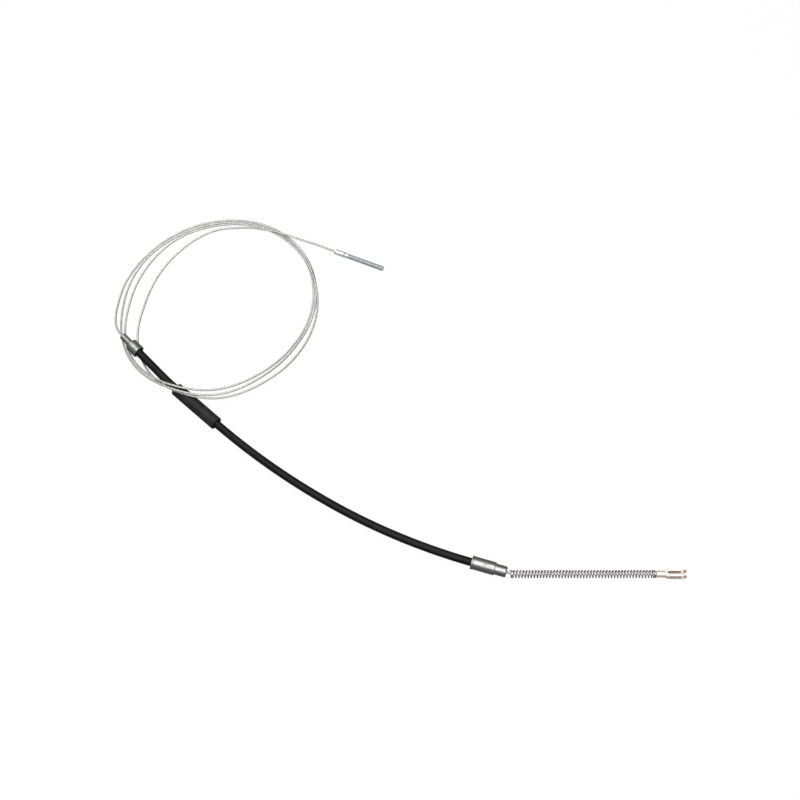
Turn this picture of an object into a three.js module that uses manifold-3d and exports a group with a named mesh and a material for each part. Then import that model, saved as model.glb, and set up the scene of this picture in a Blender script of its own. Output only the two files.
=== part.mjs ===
import * as THREE from 'three';
import { mergeVertices } from 'three/addons/utils/BufferGeometryUtils.js';
import Module from 'manifold-3d';

const wasm = await Module();
wasm.setup();

// Millimetres, +Z up, the cable lying on the plane z = 0. Angles are in degrees, measured in plan from +X.

// Clearances
const SEAT_GAP = 0.3;
const RUN_GAP = 0.35;
const LAYER_GAP = 0.2;

// Wire rope
const ROPE_D = 2.5;
const ROPE_SIDES = 8;

// Conduit layers, from the rope outwards
const LINER_WALL = 0.5;
const SPIRAL_WALL = 0.8;
const JACKET_WALL = 1.2;
const CONDUIT_SIDES = 12;
const CONDUIT_STEPS = 24;

// Conduit route, from the front ferrule's mouth to the rear ferrule
const FRONT_MOUTH_X = -288.9;
const FRONT_MOUTH_Y = 123.2;
const FRONT_HEADING = -46.0;
const FRONT_SLOPE = 0.057;
const FRONT_STRAIGHT = 38;
const FRONT_BEND_LENGTH = 25;
const FRONT_BEND_TURN = 3.5;
const REAR_ARC_LENGTH = 163.3;
const REAR_ARC_TURN = 11.7;
const LAST_ARC_LENGTH = 163.3;
const LAST_ARC_TURN = 13.8;

// Front ferrule
const CUP_D = 14.5;
const CUP_LENGTH = 14;
const CUP_FLOOR = 2;
const CUP_CHAMFER = 1;
const CRIMP_AT = 7.7;
const CRIMP_WIDTH = 2.5;
const CRIMP_DEPTH = 0.35;
const RECESS_WIDEN = 1.1;
const RECESS_DEPTH = 3;
const GUIDE_TUBE_D = 7.8;
const GUIDE_TUBE_LENGTH = 14;

// Guard sleeve
const SLEEVE_D = 15;
const SLEEVE_LENGTH = 64;
const SLEEVE_CHAMFER = 0.8;

// Rear ferrule
const COLLAR_D = 14.4;
const COLLAR_LENGTH = 26;
const COLLAR_BORE_DEPTH = 20;
const LIP_PROUD = 0.3;
const LIP_WIDTH = 1.5;
const NOSE_D = 12;
const NOSE_LENGTH = 12.6;
const NOSE_CHAMFER = 0.8;
const BELLMOUTH = 0.8;
const EDGE = 0.3;

// Rope between the rear ferrule and the fork
const REAR_ROPE_BEND_R = 50;
const REAR_ROPE_STEPS = 12;

// Return spring
const SPRING_WIRE_D = 1.4;
const SPRING_OUTER_D = 8.8;
const SPRING_LENGTH = 155.4;
const SPRING_TURNS = 48.5;
const SPRING_CLOSED_TURNS = 1.25;
const SPRING_RAMP_TURNS = 0.5;
const SPRING_CLOSED_GAP = 0.12;
const SPRING_START_GAP = 3.5;
const SPRING_STEPS_PER_TURN = 10;
const SPRING_WIRE_SIDES = 5;

// Fork
const NECK_D = 7.2;
const NECK_LENGTH = 10.2;
const NECK_BORE_DEPTH = 9;
const FORK_STRIP = 1.5;
const FORK_GAP = 4.6;
const FORK_HEIGHT = 9.2;
const FORK_LENGTH = 22.3;
const FORK_WEB_HEIGHT = 6.6;
const FORK_FLARE_LENGTH = 5;
const FORK_FOLD_R = 2.2;
const PIN_HOLE_D = 5;
const NOTCH_R = 1.1;
const NOTCH_AT = 3.8;

// Adjuster rod
const ROD_MOUTH_X = -69.9;
const ROD_MOUTH_Y = 259.5;
const ROD_HEADING = -22.7;
const BARREL_D = 6.2;
const BARREL_LENGTH = 14.5;
const BARREL_BORE_DEPTH = 13;
const WITNESS_HOLE_D = 1.6;
const WITNESS_HOLE_AT = 11.9;
const WITNESS_HOLE_TILT = 24;
const RUNOUT_D = 5;
const RUNOUT_LENGTH = 1.5;
const SHANK_D = 5.8;
const SHANK_LENGTH = 45.2;
const SHANK_CHAMFER = 0.9;

// Coil of bare rope: radii every 30 degrees, clockwise from due west, one row a lap
const COIL_CENTRE = [-203.2, 187.3];
const COIL_RADII = [
  [113.9, 109.7, 110.0, 114.9, 120.3, 118.6, 111.2, 105.0, 110.0, 122.0, 121.4, 117.4],
  [108.9, 106.8, 107.0, 111.9, 117.4, 115.8, 108.3, 102.2, 105.5, 115.7, 117.8, 114.5],
  [102.4, 99.3, 103.7, 108.9, 114.6, 115.6, 114.3, 113.7, 117.3, 124.9, 118.5, 102.0],
  [84.9, 81.7, 88.5, 101.8, 113.0],
];
const KNOT_STEP = 30;

// Heights over the rope's own resting height, by degrees turned from due west
const OVER_SLEEVE = SLEEVE_D + SEAT_GAP;
const ONE_UP = ROPE_D + SEAT_GAP;
const UPPER_LAP = [[0, 0], [190, 0], [279, OVER_SLEEVE + ONE_UP], [290, OVER_SLEEVE + ONE_UP], [301, 12.9],
  [313, 5.4], [326, 0.9], [343, 0]];
const COIL_HEIGHTS = [
  [[0, 5.8], [22, 1.5], [45, 0], ...UPPER_LAP.slice(1)],
  UPPER_LAP,
  [[0, 0], [82, 0], [112, ONE_UP], [180, ONE_UP], [279, OVER_SLEEVE], [290, OVER_SLEEVE], [301, 8.8],
    [313, 1.5], [326, 0]],
  [[0, 0], [45, 0], [90, ONE_UP]],
];

// Stations of one lap, in degrees turned: wide where it lies open, close where it climbs the conduit
const LAP_STATIONS = [0, 22.5, 45, 67.5, 90, 112.5, 135, 157.5, 180, 202.5, 225, 242, 256, 268, 279, 290,
  301, 313, 326, 343];
const LAST_LAP_STATIONS = [0, 22.5, 45, 67.5, 90];

// Rope from the guide tube to the first lap, and from the last lap to the adjuster rod
const EXIT_STRAIGHT = 5;
const LEAD_OUT = [[-317.6, 162.6, 11.0]];
const TAIL = [[-185.3, 290.8, 4.2], [-170.1, 290.3, 5.4], [-155.9, 287.4, 6.8], [-141.1, 284.5, 6.8],
  [-129.0, 280.8, 6.2], [-111.7, 275.6, 3.9], [-92.9, 269.1, BARREL_D / 2]];

const ROUND_SEGMENTS = 32;
const SMALL_ROUND_SEGMENTS = 20;
const CUTTER_REACH = 1;

// Sizes that follow from the ones above
const ROPE_R = ROPE_D / 2;
const LINER_INNER_R = ROPE_R + RUN_GAP;
const LINER_R = LINER_INNER_R + LINER_WALL;
const SPIRAL_INNER_R = LINER_R + LAYER_GAP;
const SPIRAL_R = SPIRAL_INNER_R + SPIRAL_WALL;
const JACKET_INNER_R = SPIRAL_R + LAYER_GAP;
const JACKET_R = JACKET_INNER_R + JACKET_WALL;
const JACKET_BORE_R = JACKET_R + SEAT_GAP;
const GUIDE_BORE_R = LINER_INNER_R + SEAT_GAP;
const SWAGE_BORE_R = ROPE_R + SEAT_GAP;
const AXIS_Z = SLEEVE_D / 2;

const radians = THREE.MathUtils.degToRad;
const steel = { metalness: 0.85, roughness: 0.35 };

// A route on the ground plan, made of straights and arcs, that may also slope
class Route extends THREE.Curve {
  constructor(start, heading, slope, stretches) {
    super();
    Object.assign(this, { start, heading, slope, stretches });
    this.from = 0;
    this.to = stretches.reduce((sum, stretch) => sum + stretch.length, 0);
  }

  place(distance) {
    const point = this.start.clone();
    let { heading, slope } = this;
    let left = distance;
    for (const [index, stretch] of this.stretches.entries()) {
      const isLast = index === this.stretches.length - 1;
      const run = isLast ? left : Math.min(left, stretch.length);
      const turned = radians(stretch.turn ?? 0) * run / stretch.length;
      const levelled = (stretch.climb ?? 0) * run / stretch.length;
      const chord = turned === 0 ? run : run * Math.sin(turned / 2) / (turned / 2);
      point.x += chord * Math.cos(heading + turned / 2);
      point.y += chord * Math.sin(heading + turned / 2);
      point.z += run * (slope + levelled / 2);
      heading += turned;
      slope += levelled;
      left -= run;
      if (left <= 0) break;
    }
    return { point, heading, slope };
  }

  between(from, to) {
    const part = new Route(this.start, this.heading, this.slope, this.stretches);
    part.from = from;
    part.to = to;
    return part;
  }

  getPoint(t, target = new THREE.Vector3()) {
    return target.copy(this.place(this.from + (this.to - this.from) * t).point);
  }
}

// A path through stations, whose steps are the stations themselves
class Stations extends THREE.Curve {
  constructor(points) {
    super();
    this.points = points;
  }

  getUtoTmapping(u) {
    return u;
  }

  getPoint(t, target = new THREE.Vector3()) {
    const along = t * (this.points.length - 1);
    const index = Math.min(Math.floor(along), this.points.length - 2);
    return target.lerpVectors(this.points[index], this.points[index + 1], along - index);
  }
}

// A right-handed helix along +X, closed at both ends
class Helix extends THREE.Curve {
  constructor(radius, length, turns) {
    super();
    Object.assign(this, { radius, length, turns });
  }

  getUtoTmapping(u) {
    return u;
  }

  advance(turn) {
    const ramp = (past) => {
      if (past <= 0) return 0;
      return past < SPRING_RAMP_TURNS ? past * past / (2 * SPRING_RAMP_TURNS) : past - SPRING_RAMP_TURNS / 2;
    };
    const closedPitch = SPRING_WIRE_D + SPRING_CLOSED_GAP;
    const openTurns = this.turns - 2 * SPRING_CLOSED_TURNS - SPRING_RAMP_TURNS;
    const extraPitch = (this.length - closedPitch * this.turns) / openTurns;
    const rampsOut = this.turns - SPRING_CLOSED_TURNS - SPRING_RAMP_TURNS;
    return closedPitch * turn + extraPitch * (ramp(turn - SPRING_CLOSED_TURNS) - ramp(turn - rampsOut));
  }

  getPoint(t, target = new THREE.Vector3()) {
    const turn = t * this.turns;
    const angle = 2 * Math.PI * turn;
    return target.set(this.advance(turn), this.radius * Math.cos(angle), this.radius * Math.sin(angle));
  }
}

// Shapes and solids
function polygon(radius, sides) {
  const points = [];
  for (let side = 0; side < sides; side += 1) {
    const angle = 2 * Math.PI * side / sides;
    points.push(new THREE.Vector2(radius * Math.cos(angle), radius * Math.sin(angle)));
  }
  return points;
}

function tube(path, steps, sides, outerRadius, innerRadius = 0) {
  const section = new THREE.Shape(polygon(outerRadius, sides));
  if (innerRadius > 0) section.holes.push(new THREE.Path(polygon(innerRadius, sides)));
  return new THREE.ExtrudeGeometry(section, { steps, extrudePath: path, bevelEnabled: false });
}

function revolve(profile, segments = ROUND_SEGMENTS) {
  const points = profile.map(([radius, along]) => new THREE.Vector2(radius, along));
  return new THREE.LatheGeometry(points, segments);
}

function solid(geometry) {
  const bare = geometry.clone();
  bare.deleteAttribute('normal');
  bare.deleteAttribute('uv');
  const merged = mergeVertices(bare);
  const corners = merged.index.array;
  const kept = [];
  for (let first = 0; first < corners.length; first += 3) {
    const [a, b, c] = corners.slice(first, first + 3);
    if (a !== b && b !== c && c !== a) kept.push(a, b, c);
  }
  return new wasm.Manifold(new wasm.Mesh({
    numProp: 3,
    vertProperties: new Float32Array(merged.attributes.position.array),
    triVerts: new Uint32Array(kept),
  }));
}

function geometryOf(manifold) {
  const mesh = manifold.getMesh();
  const geometry = new THREE.BufferGeometry();
  geometry.setAttribute('position', new THREE.BufferAttribute(mesh.vertProperties, 3));
  geometry.setIndex(new THREE.BufferAttribute(mesh.triVerts, 1));
  geometry.computeVertexNormals();
  return geometry;
}

function piece(name, geometry, color, look) {
  const mesh = new THREE.Mesh(geometry, new THREE.MeshStandardMaterial({ color, ...look }));
  mesh.name = name;
  return mesh;
}

// Stands a revolved piece, whose axis is local +Y, on the route at a distance
function seatOn(mesh, route, distance) {
  const { point, heading, slope } = route.place(distance);
  mesh.position.copy(point);
  mesh.rotation.order = 'ZXY';
  mesh.rotation.z = heading - Math.PI / 2;
  mesh.rotation.x = Math.atan(slope);
  return mesh;
}

// Conduit route and its marks, measured from the front ferrule's mouth
const mark = { cupShoulder: -CUP_LENGTH, guideTip: -CUP_LENGTH - GUIDE_TUBE_LENGTH };
mark.sleeve = FRONT_STRAIGHT + FRONT_BEND_LENGTH;
mark.collar = mark.sleeve + SLEEVE_LENGTH + REAR_ARC_LENGTH + LAST_ARC_LENGTH;
mark.rearMouth = mark.collar + COLLAR_LENGTH + NOSE_LENGTH;
mark.conduitStart = -CUP_LENGTH + CUP_FLOOR + SEAT_GAP;
mark.conduitEnd = mark.collar + COLLAR_BORE_DEPTH - SEAT_GAP;

const frontRise = FRONT_SLOPE * (FRONT_STRAIGHT + FRONT_BEND_LENGTH / 2);
const conduit = new Route(
  new THREE.Vector3(FRONT_MOUTH_X, FRONT_MOUTH_Y, AXIS_Z + frontRise),
  radians(FRONT_HEADING),
  -FRONT_SLOPE,
  [
    { length: FRONT_STRAIGHT },
    { length: FRONT_BEND_LENGTH, turn: FRONT_BEND_TURN, climb: FRONT_SLOPE },
    { length: SLEEVE_LENGTH },
    { length: REAR_ARC_LENGTH, turn: REAR_ARC_TURN },
    { length: LAST_ARC_LENGTH, turn: LAST_ARC_TURN },
    { length: COLLAR_LENGTH + NOSE_LENGTH },
  ],
);

// Rope from the rear ferrule, bending to run straight along +X into the fork
const rearMouth = conduit.place(mark.rearMouth);
const rearBend = REAR_ROPE_BEND_R * Math.abs(rearMouth.heading);
const springStartX = rearMouth.point.x + SPRING_START_GAP;
const springAxisY = rearMouth.point.y - REAR_ROPE_BEND_R * (1 - Math.cos(rearMouth.heading));
const neckX = springStartX + SPRING_LENGTH + SEAT_GAP;
const bendEndX = rearMouth.point.x + REAR_ROPE_BEND_R * Math.sin(Math.abs(rearMouth.heading));
const rearRope = new Route(rearMouth.point, rearMouth.heading, 0, [
  { length: rearBend, turn: -THREE.MathUtils.radToDeg(rearMouth.heading) },
  { length: neckX + NECK_BORE_DEPTH - SEAT_GAP - bendEndX },
]);

function ferruleFront() {
  const cupR = CUP_D / 2;
  const tubeR = GUIDE_TUBE_D / 2;
  const shoulder = GUIDE_TUBE_LENGTH;
  const mouth = shoulder + CUP_LENGTH;
  const crimp = shoulder + CRIMP_AT;
  const recessR = JACKET_BORE_R + RECESS_WIDEN;
  return revolve([
    [GUIDE_BORE_R, 0], [tubeR - EDGE, 0], [tubeR, EDGE], [tubeR, shoulder],
    [cupR - CUP_CHAMFER, shoulder], [cupR, shoulder + CUP_CHAMFER],
    [cupR, crimp - CRIMP_WIDTH / 2], [cupR - CRIMP_DEPTH, crimp - CRIMP_WIDTH / 4],
    [cupR - CRIMP_DEPTH, crimp + CRIMP_WIDTH / 4], [cupR, crimp + CRIMP_WIDTH / 2],
    [cupR, mouth - EDGE], [cupR - EDGE, mouth], [recessR, mouth], [recessR, mouth - RECESS_DEPTH],
    [JACKET_BORE_R, mouth - RECESS_DEPTH], [JACKET_BORE_R, shoulder + CUP_FLOOR],
    [GUIDE_BORE_R, shoulder + CUP_FLOOR], [GUIDE_BORE_R, 0],
  ]);
}

function guardSleeve() {
  const sleeveR = SLEEVE_D / 2;
  return revolve([
    [JACKET_BORE_R, 0], [sleeveR - SLEEVE_CHAMFER, 0], [sleeveR, SLEEVE_CHAMFER],
    [sleeveR, SLEEVE_LENGTH - SLEEVE_CHAMFER], [sleeveR - SLEEVE_CHAMFER, SLEEVE_LENGTH],
    [JACKET_BORE_R, SLEEVE_LENGTH], [JACKET_BORE_R, 0],
  ]);
}

function ferruleRear() {
  const collarR = COLLAR_D / 2;
  const lipR = collarR + LIP_PROUD;
  const noseR = NOSE_D / 2;
  const end = COLLAR_LENGTH + NOSE_LENGTH;
  return revolve([
    [JACKET_BORE_R, 0], [lipR, 0], [lipR, LIP_WIDTH], [collarR, LIP_WIDTH + LIP_PROUD],
    [collarR, COLLAR_LENGTH - EDGE], [collarR - EDGE, COLLAR_LENGTH], [noseR, COLLAR_LENGTH],
    [noseR, end - NOSE_CHAMFER], [noseR - NOSE_CHAMFER, end], [GUIDE_BORE_R + BELLMOUTH, end],
    [GUIDE_BORE_R, end - BELLMOUTH], [GUIDE_BORE_R, COLLAR_BORE_DEPTH],
    [JACKET_BORE_R, COLLAR_BORE_DEPTH], [JACKET_BORE_R, 0],
  ]);
}

// The strip's plan is a U with rounded folds, open towards +X
function forkPlan() {
  const inner = FORK_GAP / 2;
  const outer = inner + FORK_STRIP;
  const innerR = FORK_FOLD_R - FORK_STRIP;
  const plan = new THREE.Shape();
  plan.moveTo(FORK_LENGTH, outer);
  plan.lineTo(FORK_FOLD_R, outer);
  plan.absarc(FORK_FOLD_R, outer - FORK_FOLD_R, FORK_FOLD_R, Math.PI / 2, Math.PI);
  plan.lineTo(0, FORK_FOLD_R - outer);
  plan.absarc(FORK_FOLD_R, FORK_FOLD_R - outer, FORK_FOLD_R, Math.PI, 3 * Math.PI / 2);
  plan.lineTo(FORK_LENGTH, -outer);
  plan.lineTo(FORK_LENGTH, -inner);
  plan.absarc(FORK_FOLD_R, FORK_FOLD_R - outer, innerR, 3 * Math.PI / 2, Math.PI, true);
  plan.absarc(FORK_FOLD_R, outer - FORK_FOLD_R, innerR, Math.PI, Math.PI / 2, true);
  plan.lineTo(FORK_LENGTH, inner);
  return plan;
}

// The ears' outline: a flare from the web, then parallel edges and a round end
function earOutline() {
  const half = FORK_HEIGHT / 2;
  const webHalf = FORK_WEB_HEIGHT / 2;
  const outline = new THREE.Shape();
  outline.moveTo(-CUTTER_REACH, -webHalf);
  outline.lineTo(0, -webHalf);
  outline.lineTo(FORK_FLARE_LENGTH, -half);
  outline.absarc(FORK_LENGTH - half, 0, half, -Math.PI / 2, Math.PI / 2);
  outline.lineTo(FORK_FLARE_LENGTH, half);
  outline.lineTo(0, webHalf);
  outline.lineTo(-CUTTER_REACH, webHalf);
  return outline;
}

function crossPin(radius, x, z) {
  const width = FORK_GAP + 2 * FORK_STRIP + 2 * CUTTER_REACH;
  return solid(new THREE.CylinderGeometry(radius, radius, width, SMALL_ROUND_SEGMENTS).translate(x, 0, z));
}

function forkBody() {
  const width = FORK_GAP + 2 * FORK_STRIP + 2 * CUTTER_REACH;
  const planSolid = solid(new THREE.ExtrudeGeometry(forkPlan(), {
    depth: FORK_HEIGHT, bevelEnabled: false, curveSegments: 6,
  }).translate(0, 0, -FORK_HEIGHT / 2));
  const sideSolid = solid(new THREE.ExtrudeGeometry(earOutline(), {
    depth: width, bevelEnabled: false, curveSegments: 14,
  }).rotateX(Math.PI / 2).translate(0, width / 2, 0));
  const neckR = NECK_D / 2;
  const neckEnd = NECK_LENGTH + FORK_STRIP / 2;
  const neck = solid(revolve([
    [0, NECK_BORE_DEPTH], [SWAGE_BORE_R, NECK_BORE_DEPTH], [SWAGE_BORE_R, 0],
    [neckR - EDGE, 0], [neckR, EDGE],
    [neckR, NECK_LENGTH], [neckR - FORK_STRIP / 2, neckEnd], [0, neckEnd],
  ], SMALL_ROUND_SEGMENTS).rotateZ(-Math.PI / 2).translate(-NECK_LENGTH, 0, 0));
  const half = FORK_HEIGHT / 2;
  return geometryOf(planSolid.intersect(sideSolid).add(neck)
    .subtract(crossPin(PIN_HOLE_D / 2, FORK_LENGTH - half, 0))
    .subtract(crossPin(NOTCH_R, NOTCH_AT, half))
    .subtract(crossPin(NOTCH_R, NOTCH_AT, -half)));
}

function adjusterRod() {
  const barrelR = BARREL_D / 2;
  const runoutR = RUNOUT_D / 2;
  const shankR = SHANK_D / 2;
  const shankStart = BARREL_LENGTH + RUNOUT_LENGTH;
  const end = shankStart + SHANK_LENGTH;
  const body = solid(revolve([
    [0, BARREL_BORE_DEPTH], [SWAGE_BORE_R, BARREL_BORE_DEPTH], [SWAGE_BORE_R, 0], [barrelR - EDGE, 0],
    [barrelR, EDGE], [barrelR, BARREL_LENGTH - EDGE], [runoutR, BARREL_LENGTH], [runoutR, shankStart],
    [shankR, shankStart + EDGE], [shankR, end - SHANK_CHAMFER], [shankR - SHANK_CHAMFER, end], [0, end],
  ], SMALL_ROUND_SEGMENTS));
  const drill = new THREE.CylinderGeometry(WITNESS_HOLE_D / 2, WITNESS_HOLE_D / 2, barrelR + CUTTER_REACH, 10)
    .translate(0, (barrelR + CUTTER_REACH) / 2, 0)
    .rotateX(Math.PI / 2)
    .rotateY(radians(WITNESS_HOLE_TILT))
    .translate(0, WITNESS_HOLE_AT, 0);
  return geometryOf(body.subtract(solid(drill)));
}

// Value at a place in a list of [place, value] pairs, easing from one pair to the next
function eased(pairs, place) {
  const next = pairs.findIndex(([at]) => at > place);
  if (next < 0) return pairs[pairs.length - 1][1];
  const [fromAt, from] = pairs[Math.max(next - 1, 0)];
  const [toAt, to] = pairs[next];
  return THREE.MathUtils.lerp(from, to, THREE.MathUtils.smoothstep(place, fromAt, toAt));
}

// Radius of the coil at a turn, by a smooth curve through the knots
function coilRadius(lap, turned) {
  const knots = COIL_RADII.flat();
  const along = lap * COIL_RADII[0].length + turned / KNOT_STEP;
  const index = Math.min(Math.floor(along), knots.length - 2);
  const [before, from, to, after] = [-1, 0, 1, 2].map(
    (shift) => knots[THREE.MathUtils.clamp(index + shift, 0, knots.length - 1)],
  );
  const t = along - index;
  return from + t * (to - before + t * (2 * before - 5 * from + 4 * to - after
    + t * (3 * (from - to) + after - before))) / 2;
}

// One station of the coil, pushed out by half of what its chord falls short of the arc
function coilStation(lap, turned, step) {
  const angle = Math.PI - radians(turned);
  const radius = coilRadius(lap, turned) * 2 / (1 + Math.cos(radians(step) / 2));
  return new THREE.Vector3(
    COIL_CENTRE[0] + radius * Math.cos(angle),
    COIL_CENTRE[1] + radius * Math.sin(angle),
    ROPE_R + eased(COIL_HEIGHTS[lap], turned),
  );
}

function coilPath() {
  const exits = [SEAT_GAP, EXIT_STRAIGHT].map((past) => conduit.place(mark.guideTip - past).point);
  const points = [...exits, ...LEAD_OUT.map((place) => new THREE.Vector3(...place))];
  for (let lap = 0; lap < COIL_RADII.length; lap += 1) {
    const isLast = lap === COIL_RADII.length - 1;
    const stations = isLast ? LAST_LAP_STATIONS : LAP_STATIONS;
    for (const [index, turned] of stations.entries()) {
      const previous = stations[index - 1] ?? turned - LAP_STATIONS[1];
      points.push(coilStation(lap, turned, turned - previous));
    }
  }
  points.push(...TAIL.map((place) => new THREE.Vector3(...place)));
  const heading = radians(ROD_HEADING);
  const depth = BARREL_BORE_DEPTH - SEAT_GAP;
  points.push(new THREE.Vector3(
    ROD_MOUTH_X + depth * Math.cos(heading),
    ROD_MOUTH_Y + depth * Math.sin(heading),
    BARREL_D / 2,
  ));
  return new Stations(points);
}

// Scene
const cable = new THREE.Group();

function addConduit() {
  const run = conduit.between(mark.conduitStart, mark.conduitEnd);
  const layer = (outer, inner) => tube(run, CONDUIT_STEPS, CONDUIT_SIDES, outer, inner);
  const jacket = layer(JACKET_R, JACKET_INNER_R);
  cable.add(piece('conduit_jacket', jacket, 0x17181a, { metalness: 0, roughness: 0.45 }));
  cable.add(piece('conduit_spiral', layer(SPIRAL_R, SPIRAL_INNER_R), 0x8d9094, steel));
  const liner = layer(LINER_R, LINER_INNER_R);
  cable.add(piece('conduit_liner', liner, 0xe8e6dc, { metalness: 0, roughness: 0.5 }));
  const sleeve = piece('guard_sleeve', guardSleeve(), 0x2b2c2e, { metalness: 0, roughness: 0.6 });
  cable.add(seatOn(sleeve, conduit, mark.sleeve));
}

function addFerrules() {
  const front = piece('front_ferrule', ferruleFront(), 0xa9a79f, steel);
  cable.add(seatOn(front, conduit, mark.guideTip));
  const rear = piece('rear_ferrule', ferruleRear(), 0x9a9c9d, steel);
  cable.add(seatOn(rear, conduit, mark.collar));
}

function addRopes() {
  const ropeLook = { metalness: 0.8, roughness: 0.45 };
  const core = conduit.between(mark.guideTip, mark.rearMouth);
  cable.add(piece('cable_core', tube(core, CONDUIT_STEPS, ROPE_SIDES, ROPE_R), 0xa4a6a8, ropeLook));
  const rear = rearRope.between(SEAT_GAP, rearRope.to);
  cable.add(piece('cable_rear', tube(rear, REAR_ROPE_STEPS, ROPE_SIDES, ROPE_R), 0xa4a6a8, ropeLook));
  const coil = coilPath();
  const coilGeometry = tube(coil, coil.points.length - 1, ROPE_SIDES, ROPE_R);
  cable.add(piece('cable_coil', coilGeometry, 0xa4a6a8, ropeLook));
}

function addSpring() {
  const helix = new Helix((SPRING_OUTER_D - SPRING_WIRE_D) / 2, SPRING_LENGTH - SPRING_WIRE_D, SPRING_TURNS);
  const steps = Math.round(SPRING_TURNS * SPRING_STEPS_PER_TURN);
  const wire = tube(helix, steps, SPRING_WIRE_SIDES, SPRING_WIRE_D / 2);
  const spring = piece('return_spring', wire, 0xb9bcc0, steel);
  spring.position.set(springStartX + SPRING_WIRE_D / 2, springAxisY, AXIS_Z);
  cable.add(spring);
}

function addEnds() {
  const fork = piece('fork', forkBody(), 0xb3aaa2, steel);
  fork.position.set(neckX + NECK_LENGTH, springAxisY, AXIS_Z);
  cable.add(fork);
  const rod = piece('adjuster_rod', adjusterRod(), 0xa3a9b1, steel);
  rod.position.set(ROD_MOUTH_X, ROD_MOUTH_Y, BARREL_D / 2);
  rod.rotation.z = radians(ROD_HEADING) - Math.PI / 2;
  cable.add(rod);
}

addConduit();
addFerrules();
addRopes();
addSpring();
addEnds();

export default cable;
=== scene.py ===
"""Dresses a parking brake cable: rope, conduit, ferrules, return spring, fork and adjuster rod."""
import logging
import math
from dataclasses import dataclass, field
from enum import Enum

import bmesh
import bpy
import numpy as np
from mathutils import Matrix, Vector


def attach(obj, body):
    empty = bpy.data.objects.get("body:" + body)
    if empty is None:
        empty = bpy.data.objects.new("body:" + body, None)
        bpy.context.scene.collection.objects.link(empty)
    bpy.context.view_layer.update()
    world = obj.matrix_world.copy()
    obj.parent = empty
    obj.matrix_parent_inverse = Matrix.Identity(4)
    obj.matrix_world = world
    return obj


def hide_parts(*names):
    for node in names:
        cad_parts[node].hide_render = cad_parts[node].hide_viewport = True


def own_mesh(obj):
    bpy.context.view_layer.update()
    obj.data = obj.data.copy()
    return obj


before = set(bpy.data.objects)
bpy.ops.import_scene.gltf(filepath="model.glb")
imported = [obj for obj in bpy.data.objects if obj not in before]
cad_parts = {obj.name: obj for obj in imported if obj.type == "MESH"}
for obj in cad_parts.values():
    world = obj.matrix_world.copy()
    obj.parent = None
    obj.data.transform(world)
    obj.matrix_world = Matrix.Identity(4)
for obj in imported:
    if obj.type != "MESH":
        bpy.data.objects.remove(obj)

logging.basicConfig(level=logging.INFO, format="%(message)s")
LOG = logging.getLogger("parking_brake_cable")

MM = 0.001
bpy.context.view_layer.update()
ASSEMBLY = "conduit_assembly"
BRAKE_FORK = "brake_fork"

# How deep a hollow is where its painted shade is darkest, in millimetres
HOLLOW_DEPTH = 1.2

# The most of a flat that a rounding takes, and how many of its reaches away the supporting point lies
ROUNDING_SHARE = 0.3
SUPPORT_REACHES = 1.5

# Steeper edges are shaded sharp, and points closer than this, in metres, are one
SHARP_ANGLE = math.radians(50)
WELD_DISTANCE = 1e-7


class Ends(Enum):
    """How a lofted surface closes at its first and last ring."""

    CAPPED = "capped"
    JOINED = "joined"
    OPEN = "open"


class Wrap(Enum):
    """What a finish's pattern follows."""

    SPACE = "object coordinates"
    SURFACE = "the piece's own map"


# Paths and profiles


def unit(vectors: np.ndarray) -> np.ndarray:
    """Scales each row to length one."""
    return vectors / np.linalg.norm(vectors, axis=-1, keepdims=True)


def running_length(points: np.ndarray) -> np.ndarray:
    """Length of the line up to each of its points."""
    return np.linalg.norm(np.diff(points, axis=0, prepend=points[:1]), axis=1).cumsum()


def round_about(path: "Path", angle: np.ndarray) -> np.ndarray:
    """Directions across x cos(angle) + upward x sin(angle), by point of the path and place round it.

    Args:
        path: the framed line.
        angle: angles by place, or by point and place.

    Returns:
        Unit vectors by point, place and axis.
    """
    return np.cos(angle)[..., None] * path.across[:, None] + np.sin(angle)[..., None] * path.upward[:, None]


@dataclass(frozen=True)
class Path:
    """A line in space, in millimetres, with a frame of two cross directions at each point."""

    points: np.ndarray
    across: np.ndarray
    upward: np.ndarray

    @staticmethod
    def facing(points: np.ndarray, along: np.ndarray) -> "Path":
        """Frames a line that never runs straight up: one cross direction is level, the other completes it.

        Args:
            points: the line's points, one row each.
            along: its direction at each point, of any length.

        Returns:
            The framed path, its cross directions right-handed about the way forward.
        """
        along = unit(along)
        across = unit(np.cross([0.0, 0.0, 1.0], along))
        return Path(points, across, np.cross(along, across))

    def distances(self) -> np.ndarray:
        """Running length along the line at each point."""
        return running_length(self.points)


@dataclass(frozen=True)
class Stretch:
    """One stretch of a route: its length, its turn in plan in degrees, and its change of slope."""

    length: float
    turn: float = 0.0
    climb: float = 0.0


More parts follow.
